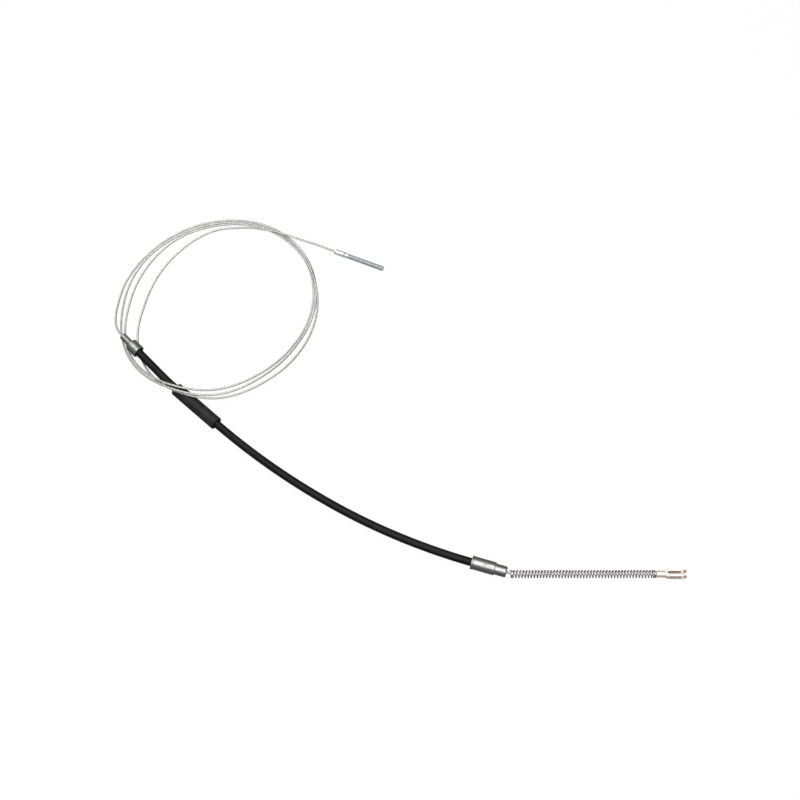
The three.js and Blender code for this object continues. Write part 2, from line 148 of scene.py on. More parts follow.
@dataclass(frozen=True)
class Route:
    """Straights and arcs laid end to end on the plan, which may also slope."""

    start: tuple[float, float, float]
    heading: float
    slope: float
    stretches: tuple[Stretch, ...]

    def place(self, distance: np.ndarray) -> tuple[np.ndarray, np.ndarray, np.ndarray]:
        """Finds points on the route; the first and last stretch run on past their ends.

        An arc's chord is its length times sin(half turn) / (half turn), laid at the mean heading.

        Args:
            distance: distances from the start, in millimetres.

        Returns:
            The points, the headings in radians and the slopes.
        """
        distance = np.atleast_1d(np.asarray(distance, float))
        point = np.tile(np.asarray(self.start, float), (len(distance), 1))
        heading = np.full(len(distance), math.radians(self.heading))
        slope = np.full(len(distance), self.slope)
        begun = 0.0
        for index, stretch in enumerate(self.stretches):
            low = -np.inf if index == 0 else 0.0
            high = np.inf if index == len(self.stretches) - 1 else stretch.length
            run = np.clip(distance - begun, low, high)
            turned = math.radians(stretch.turn) * run / stretch.length
            levelled = stretch.climb * run / stretch.length
            chord = run * np.sinc(turned / (2 * np.pi))
            middle = heading + turned / 2
            rise = run * (slope + levelled / 2)
            point += np.stack([chord * np.cos(middle), chord * np.sin(middle), rise], axis=1)
            heading = heading + turned
            slope = slope + levelled
            begun += stretch.length
        return point, heading, slope

    def path(self, distance: np.ndarray) -> Path:
        """Frames the route at the given distances, however they run back and forth.

        Args:
            distance: distances from the start, in millimetres.

        Returns:
            The framed path.
        """
        point, heading, slope = self.place(distance)
        return Path.facing(point, np.stack([np.cos(heading), np.sin(heading), slope], axis=1))


def soften(corners: np.ndarray, reach: float, steps: int = 4, closed: bool = True) -> np.ndarray:
    """Rounds a profile's corners: each becomes a quadratic curve between two points a short reach away.

    A supporting point on either side keeps the flats flat under smooth shading.

    Args:
        corners: the profile's corners, one row each.
        reach: how far from each corner the rounding starts.
        steps: points in each rounding.
        closed: whether the last corner meets the first; an open profile keeps its two ends.

    Returns:
        The rounded profile.
    """
    corners = np.asarray(corners, float)
    before = np.roll(corners, 1, axis=0) - corners
    after = np.roll(corners, -1, axis=0) - corners
    before_length = np.maximum(np.linalg.norm(before, axis=1, keepdims=True), 1e-9)
    after_length = np.maximum(np.linalg.norm(after, axis=1, keepdims=True), 1e-9)
    own = np.minimum(reach, ROUNDING_SHARE * np.minimum(before_length, after_length))
    back, forth = before / before_length * own, after / after_length * own
    t = np.linspace(0, 1, steps + 1)[None, :, None]
    first, last = (corners + back)[:, None], (corners + forth)[:, None]
    curve = (1 - t) ** 2 * first + 2 * t * (1 - t) * corners[:, None] + t**2 * last
    outer = corners[:, None] + (back * SUPPORT_REACHES)[:, None]
    inner = corners[:, None] + (forth * SUPPORT_REACHES)[:, None]
    rounded = np.concatenate([outer, curve, inner], axis=1)
    if closed:
        return rounded.reshape(-1, 2)
    return np.concatenate([corners[:1], rounded[1:-1].reshape(-1, 2), corners[-1:]])


def spline(knots: np.ndarray, spacing: float) -> np.ndarray:
    """Draws one smooth line through knots: a natural cubic whose bending is continuous.

    The parameter is the running chord length, and the knots' second derivatives solve one linear system.

    Args:
        knots: the points it passes through, one row each.
        spacing: distance between the points returned.

    Returns:
        Evenly spaced points on the line.
    """
    at = running_length(knots)
    gaps = np.diff(at)
    inner = np.arange(1, len(knots) - 1)
    system = np.eye(len(knots))
    system[inner, inner] = 2 * (gaps[:-1] + gaps[1:])
    system[inner, inner - 1] = gaps[:-1]
    system[inner, inner + 1] = gaps[1:]
    right = np.zeros_like(knots)
    right[inner] = 6 * np.diff(np.diff(knots, axis=0) / gaps[:, None], axis=0)
    bend = np.linalg.solve(system, right)

    def at_parameter(u: np.ndarray) -> np.ndarray:
        """Values of the cubic at running chord lengths."""
        index = np.clip(np.searchsorted(at, u, side="right") - 1, 0, len(knots) - 2)
        gap = gaps[index][:, None]
        low = (u - at[index])[:, None]
        high = gap - low
        value = (bend[index] * high**3 + bend[index + 1] * low**3) / (6 * gap)
        value += (knots[index] / gap - bend[index] * gap / 6) * high
        return value + (knots[index + 1] / gap - bend[index + 1] * gap / 6) * low

    fine = np.linspace(0, at[-1], 20 * len(knots))
    run = running_length(at_parameter(fine))
    even = np.linspace(0, run[-1], int(round(run[-1] / spacing)) + 1)
    return at_parameter(np.interp(even, run, fine))


# Meshes


def grid_faces(rows: int, columns: int, wrap_rows: bool, wrap_columns: bool) -> np.ndarray:
    """Numbers the corners of the faces of a grid of points that are counted row by row.

    Args:
        rows: rows of points.
        columns: points in a row.
        wrap_rows: whether the last row meets the first.
        wrap_columns: whether each row's end meets its start.

    Returns:
        Four corners for each face.
    """
    row, column = np.meshgrid(
        np.arange(rows if wrap_rows else rows - 1),
        np.arange(columns if wrap_columns else columns - 1),
        indexing="ij",
    )
    next_row, next_column = (row + 1) % rows, (column + 1) % columns
    corners = (row, column), (row, next_column), (next_row, next_column), (next_row, column)
    return np.stack([r * columns + c for r, c in corners], axis=-1).reshape(-1, 4)


def loft(
    name: str, rings: np.ndarray, ends: Ends, along: np.ndarray, hollow: np.ndarray | None = None
) -> bpy.types.Object:
    """Makes a closed surface of rings, each ring's points running right-handed about the way forward.

    Args:
        name: the piece's name.
        rings: points in millimetres, by ring, by place round the ring, by axis.
        ends: how the first and last ring are closed.
        along: the map's first coordinate at each ring; the second is the share of a turn.
        hollow: how deep in a hollow each point lies, from 0 to 1, for an open loft; it sets the painted shade
            there.

    Returns:
        The piece, linked to the scene.
    """
    count, around = rings.shape[:2]
    points = rings.reshape(-1, 3)
    quads = grid_faces(count, around, ends is Ends.JOINED, True)
    turns = (quads % around) / around
    seam = turns[:, 1:3]
    seam[seam == 0] = 1.0
    loops = quads.reshape(-1)
    sizes = np.full(len(quads), 4)
    maps = np.stack([along[quads // around].reshape(-1), turns.reshape(-1)], axis=1)
    if ends is Ends.CAPPED:
        points = np.concatenate([points, rings[:1].mean(axis=1), rings[-1:].mean(axis=1)])
        base = np.arange(around)
        far = (base + 1) % around
        start = np.stack([np.full(around, count * around), far, base], axis=1)
        last = (count - 1) * around
        finish = np.stack([np.full(around, count * around + 1), last + base, last + far], axis=1)
        loops = np.concatenate([loops, start.reshape(-1), finish.reshape(-1)])
        sizes = np.concatenate([sizes, np.full(2 * around, 3)])
        ends_map = np.stack([np.repeat([along[0], along[-1]], 3 * around), np.zeros(6 * around)], axis=1)
        maps = np.concatenate([maps, ends_map])
    return mesh_object(name, points * MM, loops, sizes, maps, hollow)


def mesh_object(
    name: str,
    points: np.ndarray,
    loops: np.ndarray,
    sizes: np.ndarray,
    maps: np.ndarray | None = None,
    hollow: np.ndarray | None = None,
) -> bpy.types.Object:
    """Puts arrays into a mesh, merges doubles, smooths it and links its object.

    Args:
        name: the piece's name.
        points: vertices in metres.
        loops: vertex numbers, face after face.
        sizes: how many corners each face has.
        maps: the map's two coordinates at each corner, or None for no map.
        hollow: how deep in a hollow each vertex lies, from 0 to 1, for painted shade, or None.

    Returns:
        The new object, at the origin.
    """
    mesh = bpy.data.meshes.new(name)
    mesh.vertices.add(len(points))
    mesh.vertices.foreach_set("co", np.asarray(points, np.float32).reshape(-1))
    mesh.loops.add(len(loops))
    mesh.loops.foreach_set("vertex_index", np.asarray(loops, np.int32))
    mesh.polygons.add(len(sizes))
    mesh.polygons.foreach_set("loop_start", np.concatenate([[0], np.cumsum(sizes)[:-1]]).astype(np.int32))
    if maps is not None:
        layer = mesh.uv_layers.new(name="surface")
        layer.data.foreach_set("uv", np.asarray(maps, np.float32).reshape(-1))
    if hollow is not None:
        depth = mesh.attributes.new("hollow", "FLOAT", "POINT")
        depth.data.foreach_set("value", np.asarray(hollow, np.float32).reshape(-1))
    mesh.update(calc_edges=True)
    work = bmesh.new()
    work.from_mesh(mesh)
    bmesh.ops.remove_doubles(work, verts=work.verts, dist=WELD_DISTANCE)
    bmesh.ops.dissolve_degenerate(work, edges=work.edges, dist=WELD_DISTANCE / 10)
    work.to_mesh(mesh)
    work.free()
    mesh.validate()
    mesh.shade_smooth()
    mesh.set_sharp_from_angle(angle=SHARP_ANGLE)
    piece = bpy.data.objects.new(name, mesh)
    bpy.context.scene.collection.objects.link(piece)
    return piece


def turned(
    name: str,
    route: Route,
    profile: np.ndarray,
    around: int = 96,
    ends: Ends = Ends.JOINED,
    relief: np.ndarray | None = None,
) -> bpy.types.Object:
    """Carries a profile along a route: point = route point + radius x (across x cos + upward x sin).

    Args:
        name: the piece's name.
        route: the line it is turned about.
        profile: rows of radius and distance; they go forward on outer walls and back on inner ones.
        around: points in a ring.
        ends: how the first and last ring are closed.
        relief: what is added to the radius, by profile row and place round the ring.

    Returns:
        The piece.
    """
    path = route.path(profile[:, 1])
    angle = 2 * np.pi * np.arange(around) / around
    radius = profile[:, :1] + (0.0 if relief is None else relief)
    rings = path.points[:, None] + radius[..., None] * round_about(path, angle)
    # How deep each point lies in a thread root or pit; the rod's finish paints it darker there as shade
    hollow = None if relief is None else np.clip(-relief / HOLLOW_DEPTH, 0, 1)
    return loft(name, rings, ends, running_length(profile), hollow)


# The cable's route and main sizes


@dataclass(frozen=True)
class Sizes:
    """Sizes that more than one piece is built on, in millimetres."""

    rope_r: float = 1.25
    rope_lay: float = 17.5
    strands: int = 6
    seat_gap: float = 0.3
    run_gap: float = 0.35
    layer_gap: float = 0.2
    liner_wall: float = 0.5
    spiral_wall: float = 0.8
    jacket_wall: float = 1.2
    axis_z: float = 7.5
    front_mouth: tuple[float, float] = (-288.9, 123.2)
    front_heading: float = -46.0
    front_slope: float = 0.057
    front_straight: float = 38.0
    front_bend: float = 25.0
    sleeve_length: float = 64.0
    sleeve_r: float = 7.5
    arc_length: float = 163.3
    collar_length: float = 26.0
    nose_length: float = 12.6
    cup_length: float = 14.0
    guide_length: float = 14.0
    rear_bend_r: float = 50.0
    spring_start: float = 3.5
    spring_length: float = 155.4
    neck_length: float = 10.2
    rope_in_neck: float = 8.7

    @property
    def liner_inner_r(self) -> float:
        """Bore of the liner."""
        return self.rope_r + self.run_gap

    @property
    def jacket_r(self) -> float:
        """Outer radius of the conduit."""
        walls = self.liner_wall + self.spiral_wall + self.jacket_wall
        return self.liner_inner_r + walls + 2 * self.layer_gap

    @property
    def jacket_bore_r(self) -> float:
        """Bore of what seats on the conduit."""
        return self.jacket_r + self.seat_gap

    @property
    def guide_bore_r(self) -> float:
        """Bore that guides the rope in a ferrule."""
        return self.liner_inner_r + self.seat_gap

    @property
    def swage_bore_r(self) -> float:
        """Bore that is swaged on the rope."""
        return self.rope_r + self.seat_gap

    @property
    def conduit(self) -> Route:
        """The conduit's line, measured from the front ferrule's mouth."""
        rise = self.front_slope * (self.front_straight + self.front_bend / 2)
        return Route(
            (*self.front_mouth, self.axis_z + rise),
            self.front_heading,
            -self.front_slope,
            (
                Stretch(self.front_straight),
                Stretch(self.front_bend, 3.5, self.front_slope),
                Stretch(self.sleeve_length),
                Stretch(self.arc_length, 11.7),
                Stretch(self.arc_length, 13.8),
                Stretch(self.collar_length + self.nose_length),
            ),
        )

    @property
    def sleeve_at(self) -> float:
        """Where the guard sleeve starts on the conduit."""
        return self.front_straight + self.front_bend

    @property
    def collar_at(self) -> float:
        """Where the rear ferrule starts on the conduit."""
        return self.sleeve_at + self.sleeve_length + 2 * self.arc_length

    @property
    def mouth_at(self) -> float:
        """Where the rope leaves the rear ferrule."""
        return self.collar_at + self.collar_length + self.nose_length

    @property
    def guide_tip_at(self) -> float:
        """Where the rope leaves the front ferrule's guide tube."""
        return -self.cup_length - self.guide_length

    @property
    def mouth(self) -> tuple[np.ndarray, float]:
        """The point where the rope leaves the rear ferrule, and its heading in radians."""
        point, heading, _ = self.conduit.place(np.array([self.mouth_at]))
        return point[0], float(heading[0])

    @property
    def rear_rope(self) -> Route:
        """The rope from the rear ferrule, bending to run straight along +X into the fork."""
        point, heading = self.mouth
        bend = abs(heading) * self.rear_bend_r
        end = self.neck_x + self.rope_in_neck
        straight = end - (point[0] + self.rear_bend_r * math.sin(abs(heading)))
        degrees = math.degrees(heading)
        return Route(tuple(point), degrees, 0.0, (Stretch(bend, -degrees), Stretch(straight)))

    @property
    def spring_x(self) -> float:
        """Where the spring starts along +X."""
        return float(self.mouth[0][0]) + self.spring_start

    @property
    def spring_y(self) -> float:
        """The spring's and the fork's axis in plan."""
        point, heading = self.mouth
        return float(point[1]) - self.rear_bend_r * (1 - math.cos(heading))

    @property
    def neck_x(self) -> float:
        """Where the fork's neck starts along +X."""
        return self.spring_x + self.spring_length + self.seat_gap

    @property
    def fork_axis(self) -> Route:
        """The fork's axis, measured from the neck's face."""
        return Route((self.neck_x, self.spring_y, self.axis_z), 0.0, 0.0, (Stretch(40.0),))


# Finishes


@dataclass(frozen=True)
class Nodes:
    """A node tree, with short ways to add nodes to it."""

    tree: bpy.types.NodeTree

    def add(self, kind: str, inputs: dict | None = None, **settings: object) -> bpy.types.Node:
        """Adds one shader node.

        Args:
            kind: the node's type, without its leading ShaderNode.
            inputs: by name or number, a socket to link or a value to set.
            **settings: the node's own settings.

        Returns:
            The node.
        """
        node = self.tree.nodes.new(f"ShaderNode{kind}")
        for label, value in settings.items():
            setattr(node, label, value)
        for key, value in (inputs or {}).items():
            if isinstance(value, bpy.types.NodeSocket):
                self.tree.links.new(value, node.inputs[key])
            else:
                node.inputs[key].default_value = value
        return node

    def math(self, operation: str, *values: object, clamp: bool = False) -> bpy.types.NodeSocket:
        """Adds one Math node whose inputs are sockets or plain numbers, and gives its result."""
        return self.add("Math", dict(enumerate(values)), operation=operation, use_clamp=clamp).outputs[0]

    def mix(self, factor: bpy.types.NodeSocket, first: object, second: object) -> bpy.types.NodeSocket:
        """Mixes two colours by a factor.

        Args:
            factor: the share of the second colour.
            first: the first colour, a socket or three numbers.
            second: the second colour, likewise.

        Returns:
            The mixed colour.
        """
        node = self.add("Mix", {"Factor": factor}, data_type="RGBA")
        sockets = [socket for socket in node.inputs if socket.type == "RGBA"]
        for socket, value in zip(sockets, (first, second)):
            if isinstance(value, bpy.types.NodeSocket):
                self.tree.links.new(value, socket)
            else:
                socket.default_value = (*value, 1.0)
        return next(socket for socket in node.outputs if socket.type == "RGBA")

    def shade(self, factor: object, first: bpy.types.Node, second: bpy.types.Node) -> bpy.types.Node:
        """Mixes two shaders by a factor, a socket or a plain number."""
        return self.add("MixShader", {"Fac": factor, 1: first.outputs[0], 2: second.outputs[0]})

    @staticmethod
    def group(name: str, inputs: dict[str, float], outputs: tuple[str, ...]) -> "Nodes":
        """Starts a node group with plain number inputs and value outputs.

        Args:
            name: the group's name.
            inputs: each input's name and usual value.
            outputs: the outputs' names.

        Returns:
            The empty group.
        """
        tree = bpy.data.node_groups.new(name, "ShaderNodeTree")
        for label, value in inputs.items():
            socket = tree.interface.new_socket(label, in_out="INPUT", socket_type="NodeSocketFloat")
            socket.default_value = value
        for label in outputs:
            tree.interface.new_socket(label, in_out="OUTPUT", socket_type="NodeSocketFloat")
        return Nodes(tree)

    def leave(self, **outputs: bpy.types.NodeSocket) -> bpy.types.NodeTree:
        """Links the group's outputs and gives the finished group."""
        node = self.tree.nodes.new("NodeGroupOutput")
        for label, socket in outputs.items():
            self.tree.links.new(socket, node.inputs[label])
        return self.tree


class Effects:
    """Node groups that several finishes share, each built once."""

    def __init__(self) -> None:
        """Builds the groups."""
        self.mottle = self._mottle()
        self.scuffs = self._scuffs()
        self.strands = self._strands()

    @staticmethod
    def _mottle() -> bpy.types.NodeTree:
        """Cloudy blotches over fine grain, for plated and moulded surfaces."""
        sizes = {"Blotch size": 250.0, "Grain size": 2500.0, "Contrast": 1.0}
        nodes = Nodes.group("cloudy_mottle", sizes, ("Mask", "Grain"))
        given = nodes.tree.nodes.new("NodeGroupInput").outputs
        where = nodes.add("TexCoord").outputs["Object"]
        blotch = nodes.add("TexNoise", {"Vector": where, "Scale": given["Blotch size"], "Detail": 3.0})
        grain = nodes.add("TexNoise", {"Vector": where, "Scale": given["Grain size"], "Detail": 2.0})
        centred = nodes.math("SUBTRACT", blotch.outputs["Fac"], 0.5)
        pushed = nodes.math("MULTIPLY", centred, nodes.math("MULTIPLY", given["Contrast"], 3.0))
        mask = nodes.math("ADD", pushed, 0.5, clamp=True)
        return nodes.leave(Mask=mask, Grain=grain.outputs["Fac"])

    @staticmethod
    def _scuffs() -> bpy.types.NodeTree:
        """Fine lines along the piece, on its own map, and sparse rubbed patches."""
        sizes = {"Lines round": 60.0, "Along": 0.05, "Patches": 60.0}
        nodes = Nodes.group("rubbed_lines", sizes, ("Lines", "Rubbed"))
        given = nodes.tree.nodes.new("NodeGroupInput").outputs
        own = nodes.add("SeparateXYZ", {0: nodes.add("UVMap").outputs["UV"]}).outputs
        angle = nodes.math("MULTIPLY", own["Y"], 2 * math.pi)
        stretched = nodes.add("CombineXYZ", {
            "X": nodes.math("MULTIPLY", own["X"], given["Along"]),
            "Y": nodes.math("MULTIPLY", nodes.math("COSINE", angle), given["Lines round"]),
            "Z": nodes.math("MULTIPLY", nodes.math("SINE", angle), given["Lines round"]),
        })
        lines = nodes.add("TexNoise", {"Vector": stretched.outputs[0], "Scale": 1.0, "Detail": 2.0})
        patches = nodes.add("TexNoise", {
            "Vector": nodes.add("TexCoord").outputs["Object"], "Scale": given["Patches"],
            "Detail": 4.0, "Roughness": 0.65,
        })
        risen = nodes.math("MULTIPLY", nodes.math("SUBTRACT", patches.outputs["Fac"], 0.55), 8.0)
        rubbed = nodes.math("SMOOTH_MIN", 1.0, risen, 0.1, clamp=True)
        return nodes.leave(Lines=lines.outputs["Fac"], Rubbed=rubbed)

    @staticmethod
    def _strands() -> bpy.types.NodeTree:
        """Crests of the rope's strands, which set the painted shade in the valleys between them, and the
        single wires laid in each, on the rope's own map.
        """
        sizes = {"Strands": 6.0, "Wires": 3.0, "Wire lay": 0.35}
        nodes = Nodes.group("rope_strands", sizes, ("Crest", "Height"))
        given = nodes.tree.nodes.new("NodeGroupInput").outputs
        own = nodes.add("SeparateXYZ", {0: nodes.add("UVMap").outputs["UV"]}).outputs
        strand = nodes.math("MULTIPLY", own["Y"], given["Strands"])
        crest = nodes.math("COSINE", nodes.math("MULTIPLY", strand, 2 * math.pi))
        laid = nodes.math("MULTIPLY", own["X"], given["Wire lay"])
        wire = nodes.math("ADD", nodes.math("MULTIPLY", strand, given["Wires"]), laid)
        wave = nodes.math("ABSOLUTE", nodes.math("SINE", nodes.math("MULTIPLY", wire, math.pi)))
        return nodes.leave(Crest=nodes.math("MULTIPLY_ADD", crest, 0.5, 0.5), Height=wave)


@dataclass(frozen=True)
class Finish:
    """One surface finish: two shades that blotch into each other, and how glossy and grained it is."""

    name: str
    shade: tuple[float, float, float]
    second_shade: tuple[float, float, float]
    metallic: float
    roughness: float
    roughness_spread: float
    grain_depth: float
    blotch: float = 250.0
    grain: float = 2500.0
    contrast: float = 1.0
    wrap: Wrap = Wrap.SPACE
    lines_round: float = 60.0
    rubbed: float = 0.0
    strands: bool = False
    # How much darker the valleys between strands are painted, as shade
    valley_painted_shade: float = 0.6
    specular: float = 0.5
    # Whether to paint shade into thread roots and pits, read from the mesh's hollow attribute
    paints_shade_in_hollows: bool = False
    rubbed_gain: float = 0.12
    rubbed_roughness: float = 0.2
    crest_power: float = 0.45
    wire_height: float = 2.0
    # Painted shade in hollows: how it rises with depth, and its colour at the deepest point
    painted_shade_curve: float = 0.7
    painted_hollow_shade: tuple[float, float, float] = (0.03, 0.03, 0.03)
    hollow_roughness: float = 0.5
    bump: float = 0.5

    def build(self, effects: Effects) -> bpy.types.Material:
        """Makes the material.

        Args:
            effects: the shared node groups.

        Returns:
            The finished material.
        """
        material = bpy.data.materials.new(self.name)
        material.use_nodes = True
        material.diffuse_color = (*self.shade, 1.0)
        nodes = Nodes(material.node_tree)
        shader = nodes.tree.nodes["Principled BSDF"]
        shader.inputs["Metallic"].default_value = self.metallic
        shader.inputs["Specular IOR Level"].default_value = self.specular
        sizes = {"Blotch size": self.blotch, "Grain size": self.grain, "Contrast": self.contrast}
        mottle = nodes.add("Group", node_tree=effects.mottle)
        for label, value in sizes.items():
            mottle.inputs[label].default_value = value
        colour = nodes.mix(mottle.outputs["Mask"], self.shade, self.second_shade)
        rough = nodes.math("MULTIPLY_ADD", mottle.outputs["Mask"], self.roughness_spread, self.roughness)
        height = mottle.outputs["Grain"]
        if self.wrap is Wrap.SURFACE:
            scuffs = nodes.add("Group", node_tree=effects.scuffs)
            scuffs.inputs["Lines round"].default_value = self.lines_round
            height = nodes.math("ADD", height, scuffs.outputs["Lines"])
            if self.rubbed:
                worn = nodes.math("MULTIPLY", scuffs.outputs["Rubbed"], self.rubbed)
                colour = nodes.mix(worn, colour, tuple(min(1.0, c + self.rubbed_gain) for c in self.shade))
                rough = nodes.math("ADD", rough, nodes.math("MULTIPLY", worn, self.rubbed_roughness))
        if self.strands:
            rope = nodes.add("Group", node_tree=effects.strands)
            # Painted shade: the valleys between the strands are darkened, and the crests keep the full colour
            crest = nodes.math("POWER", rope.outputs["Crest"], self.crest_power)
            colour = nodes.mix(crest, tuple(c * self.valley_painted_shade for c in self.shade), colour)
            wires = nodes.math("MULTIPLY", rope.outputs["Height"], self.wire_height)
            height = nodes.math("ADD", height, wires)
        # Painted shade: the colour darkens towards the painted hollow shade the deeper a point lies in a
        # thread root or the witness hole
        if self.paints_shade_in_hollows:
            depth = nodes.add("Attribute", attribute_name="hollow").outputs["Fac"]
            colour = nodes.mix(nodes.math("POWER", depth, self.painted_shade_curve), colour, self.painted_hollow_shade)
            rough = nodes.math("MULTIPLY_ADD", depth, self.hollow_roughness, rough)
        nodes.tree.links.new(colour, shader.inputs["Base Color"])
        nodes.tree.links.new(rough, shader.inputs["Roughness"])
        bump = nodes.add("Bump", {"Strength": self.bump, "Distance": self.grain_depth * MM, "Height": height})
        nodes.tree.links.new(bump.outputs["Normal"], shader.inputs["Normal"])
        return material

# The rope's valleys between strands get painted shade
ROPE_WIRE = Finish(
    "rope_wire", (0.66, 0.67, 0.63), (0.57, 0.58, 0.54), 0.75, 0.42, 0.10, 0.02,
    blotch=120.0, strands=True, valley_painted_shade=0.75,
)
FERRULE_STEEL = Finish(
    "ferrule_steel", (0.39, 0.40, 0.38), (0.29, 0.30, 0.28), 0.9, 0.30, 0.14, 0.012,
    blotch=180.0, wrap=Wrap.SURFACE, lines_round=20.0,
)
JACKET_PLASTIC = Finish(
    "jacket_plastic", (0.006, 0.006, 0.006), (0.010, 0.010, 0.010), 0.0, 0.36, 0.12, 0.02,
    blotch=90.0, wrap=Wrap.SURFACE, lines_round=10.0, rubbed=0.04, specular=0.14,
)
SPIRAL_WIRE = Finish("spiral_wire", (0.45, 0.46, 0.48), (0.38, 0.39, 0.41), 0.9, 0.35, 0.1, 0.02)
LINER_PLASTIC = Finish("liner_plastic", (0.80, 0.79, 0.74), (0.76, 0.74, 0.68), 0.0, 0.4, 0.1, 0.01)
SLEEVE_RUBBER = Finish(
    "sleeve_rubber", (0.012, 0.012, 0.012), (0.020, 0.020, 0.020), 0.0, 0.45, 0.12, 0.04,
    blotch=110.0, grain=3500.0, wrap=Wrap.SURFACE, lines_round=14.0, rubbed=0.08, specular=0.2,
)
SPRING_ZINC = Finish(
    "spring_zinc", (0.80, 0.76, 0.80), (0.60, 0.52, 0.60), 0.95, 0.18, 0.10, 0.01, blotch=300.0,
)
FORK_ZINC = Finish(
    "fork_zinc", (0.94, 0.80, 0.76), (0.86, 0.73, 0.62), 0.55, 0.26, 0.15, 0.015, blotch=420.0,
)
# The rod's thread roots and witness hole get painted shade
ROD_ZINC = Finish(
    "rod_zinc", (0.90, 0.95, 0.97), (0.78, 0.84, 0.87), 0.65, 0.24, 0.12, 0.012,
    blotch=260.0, paints_shade_in_hollows=True,
)


class Dresser:
    """Gives each piece its finish and its body, and keeps a table of the materials."""

    def __init__(self, effects: Effects) -> None:
        """Starts with no materials.

        Args:
            effects: the shared node groups.
        """
        self.effects = effects
        self.materials: dict[str, bpy.types.Material] = {}

    def material(self, finish: Finish) -> bpy.types.Material:
        """The finish's material, built once."""
        if finish.name not in self.materials:
            self.materials[finish.name] = finish.build(self.effects)
        return self.materials[finish.name]

    def dress(
        self, piece: bpy.types.Object, finish: Finish, body: str, slot: str, *nodes: str
    ) -> bpy.types.Object:
        """Finishes a piece and says what it rides on and stands for.

        Args:
            piece: the piece.
            finish: its finish.
            body: the body it rides on.
            slot: not used.
            *nodes: the solids that it stands for.

        Returns:
            The same piece.
        """
        piece.data.materials.clear()
        piece.data.materials.append(self.material(finish))
        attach(piece, body)
        if nodes:
            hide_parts(*nodes)
        LOG.info("%s: %d faces, %s", piece.name, len(piece.data.polygons), finish.name)
        return piece

    def repaint(self, node: str, finish: Finish) -> None:
        """Gives a solid that stays in the scene a better material.

        Args:
            node: the solid's node name.
            finish: its finish.
        """
        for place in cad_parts[node].material_slots:
            place.material = self.material(finish)
        LOG.info("%s: solid kept, %s", node, finish.name)


# Wire rope


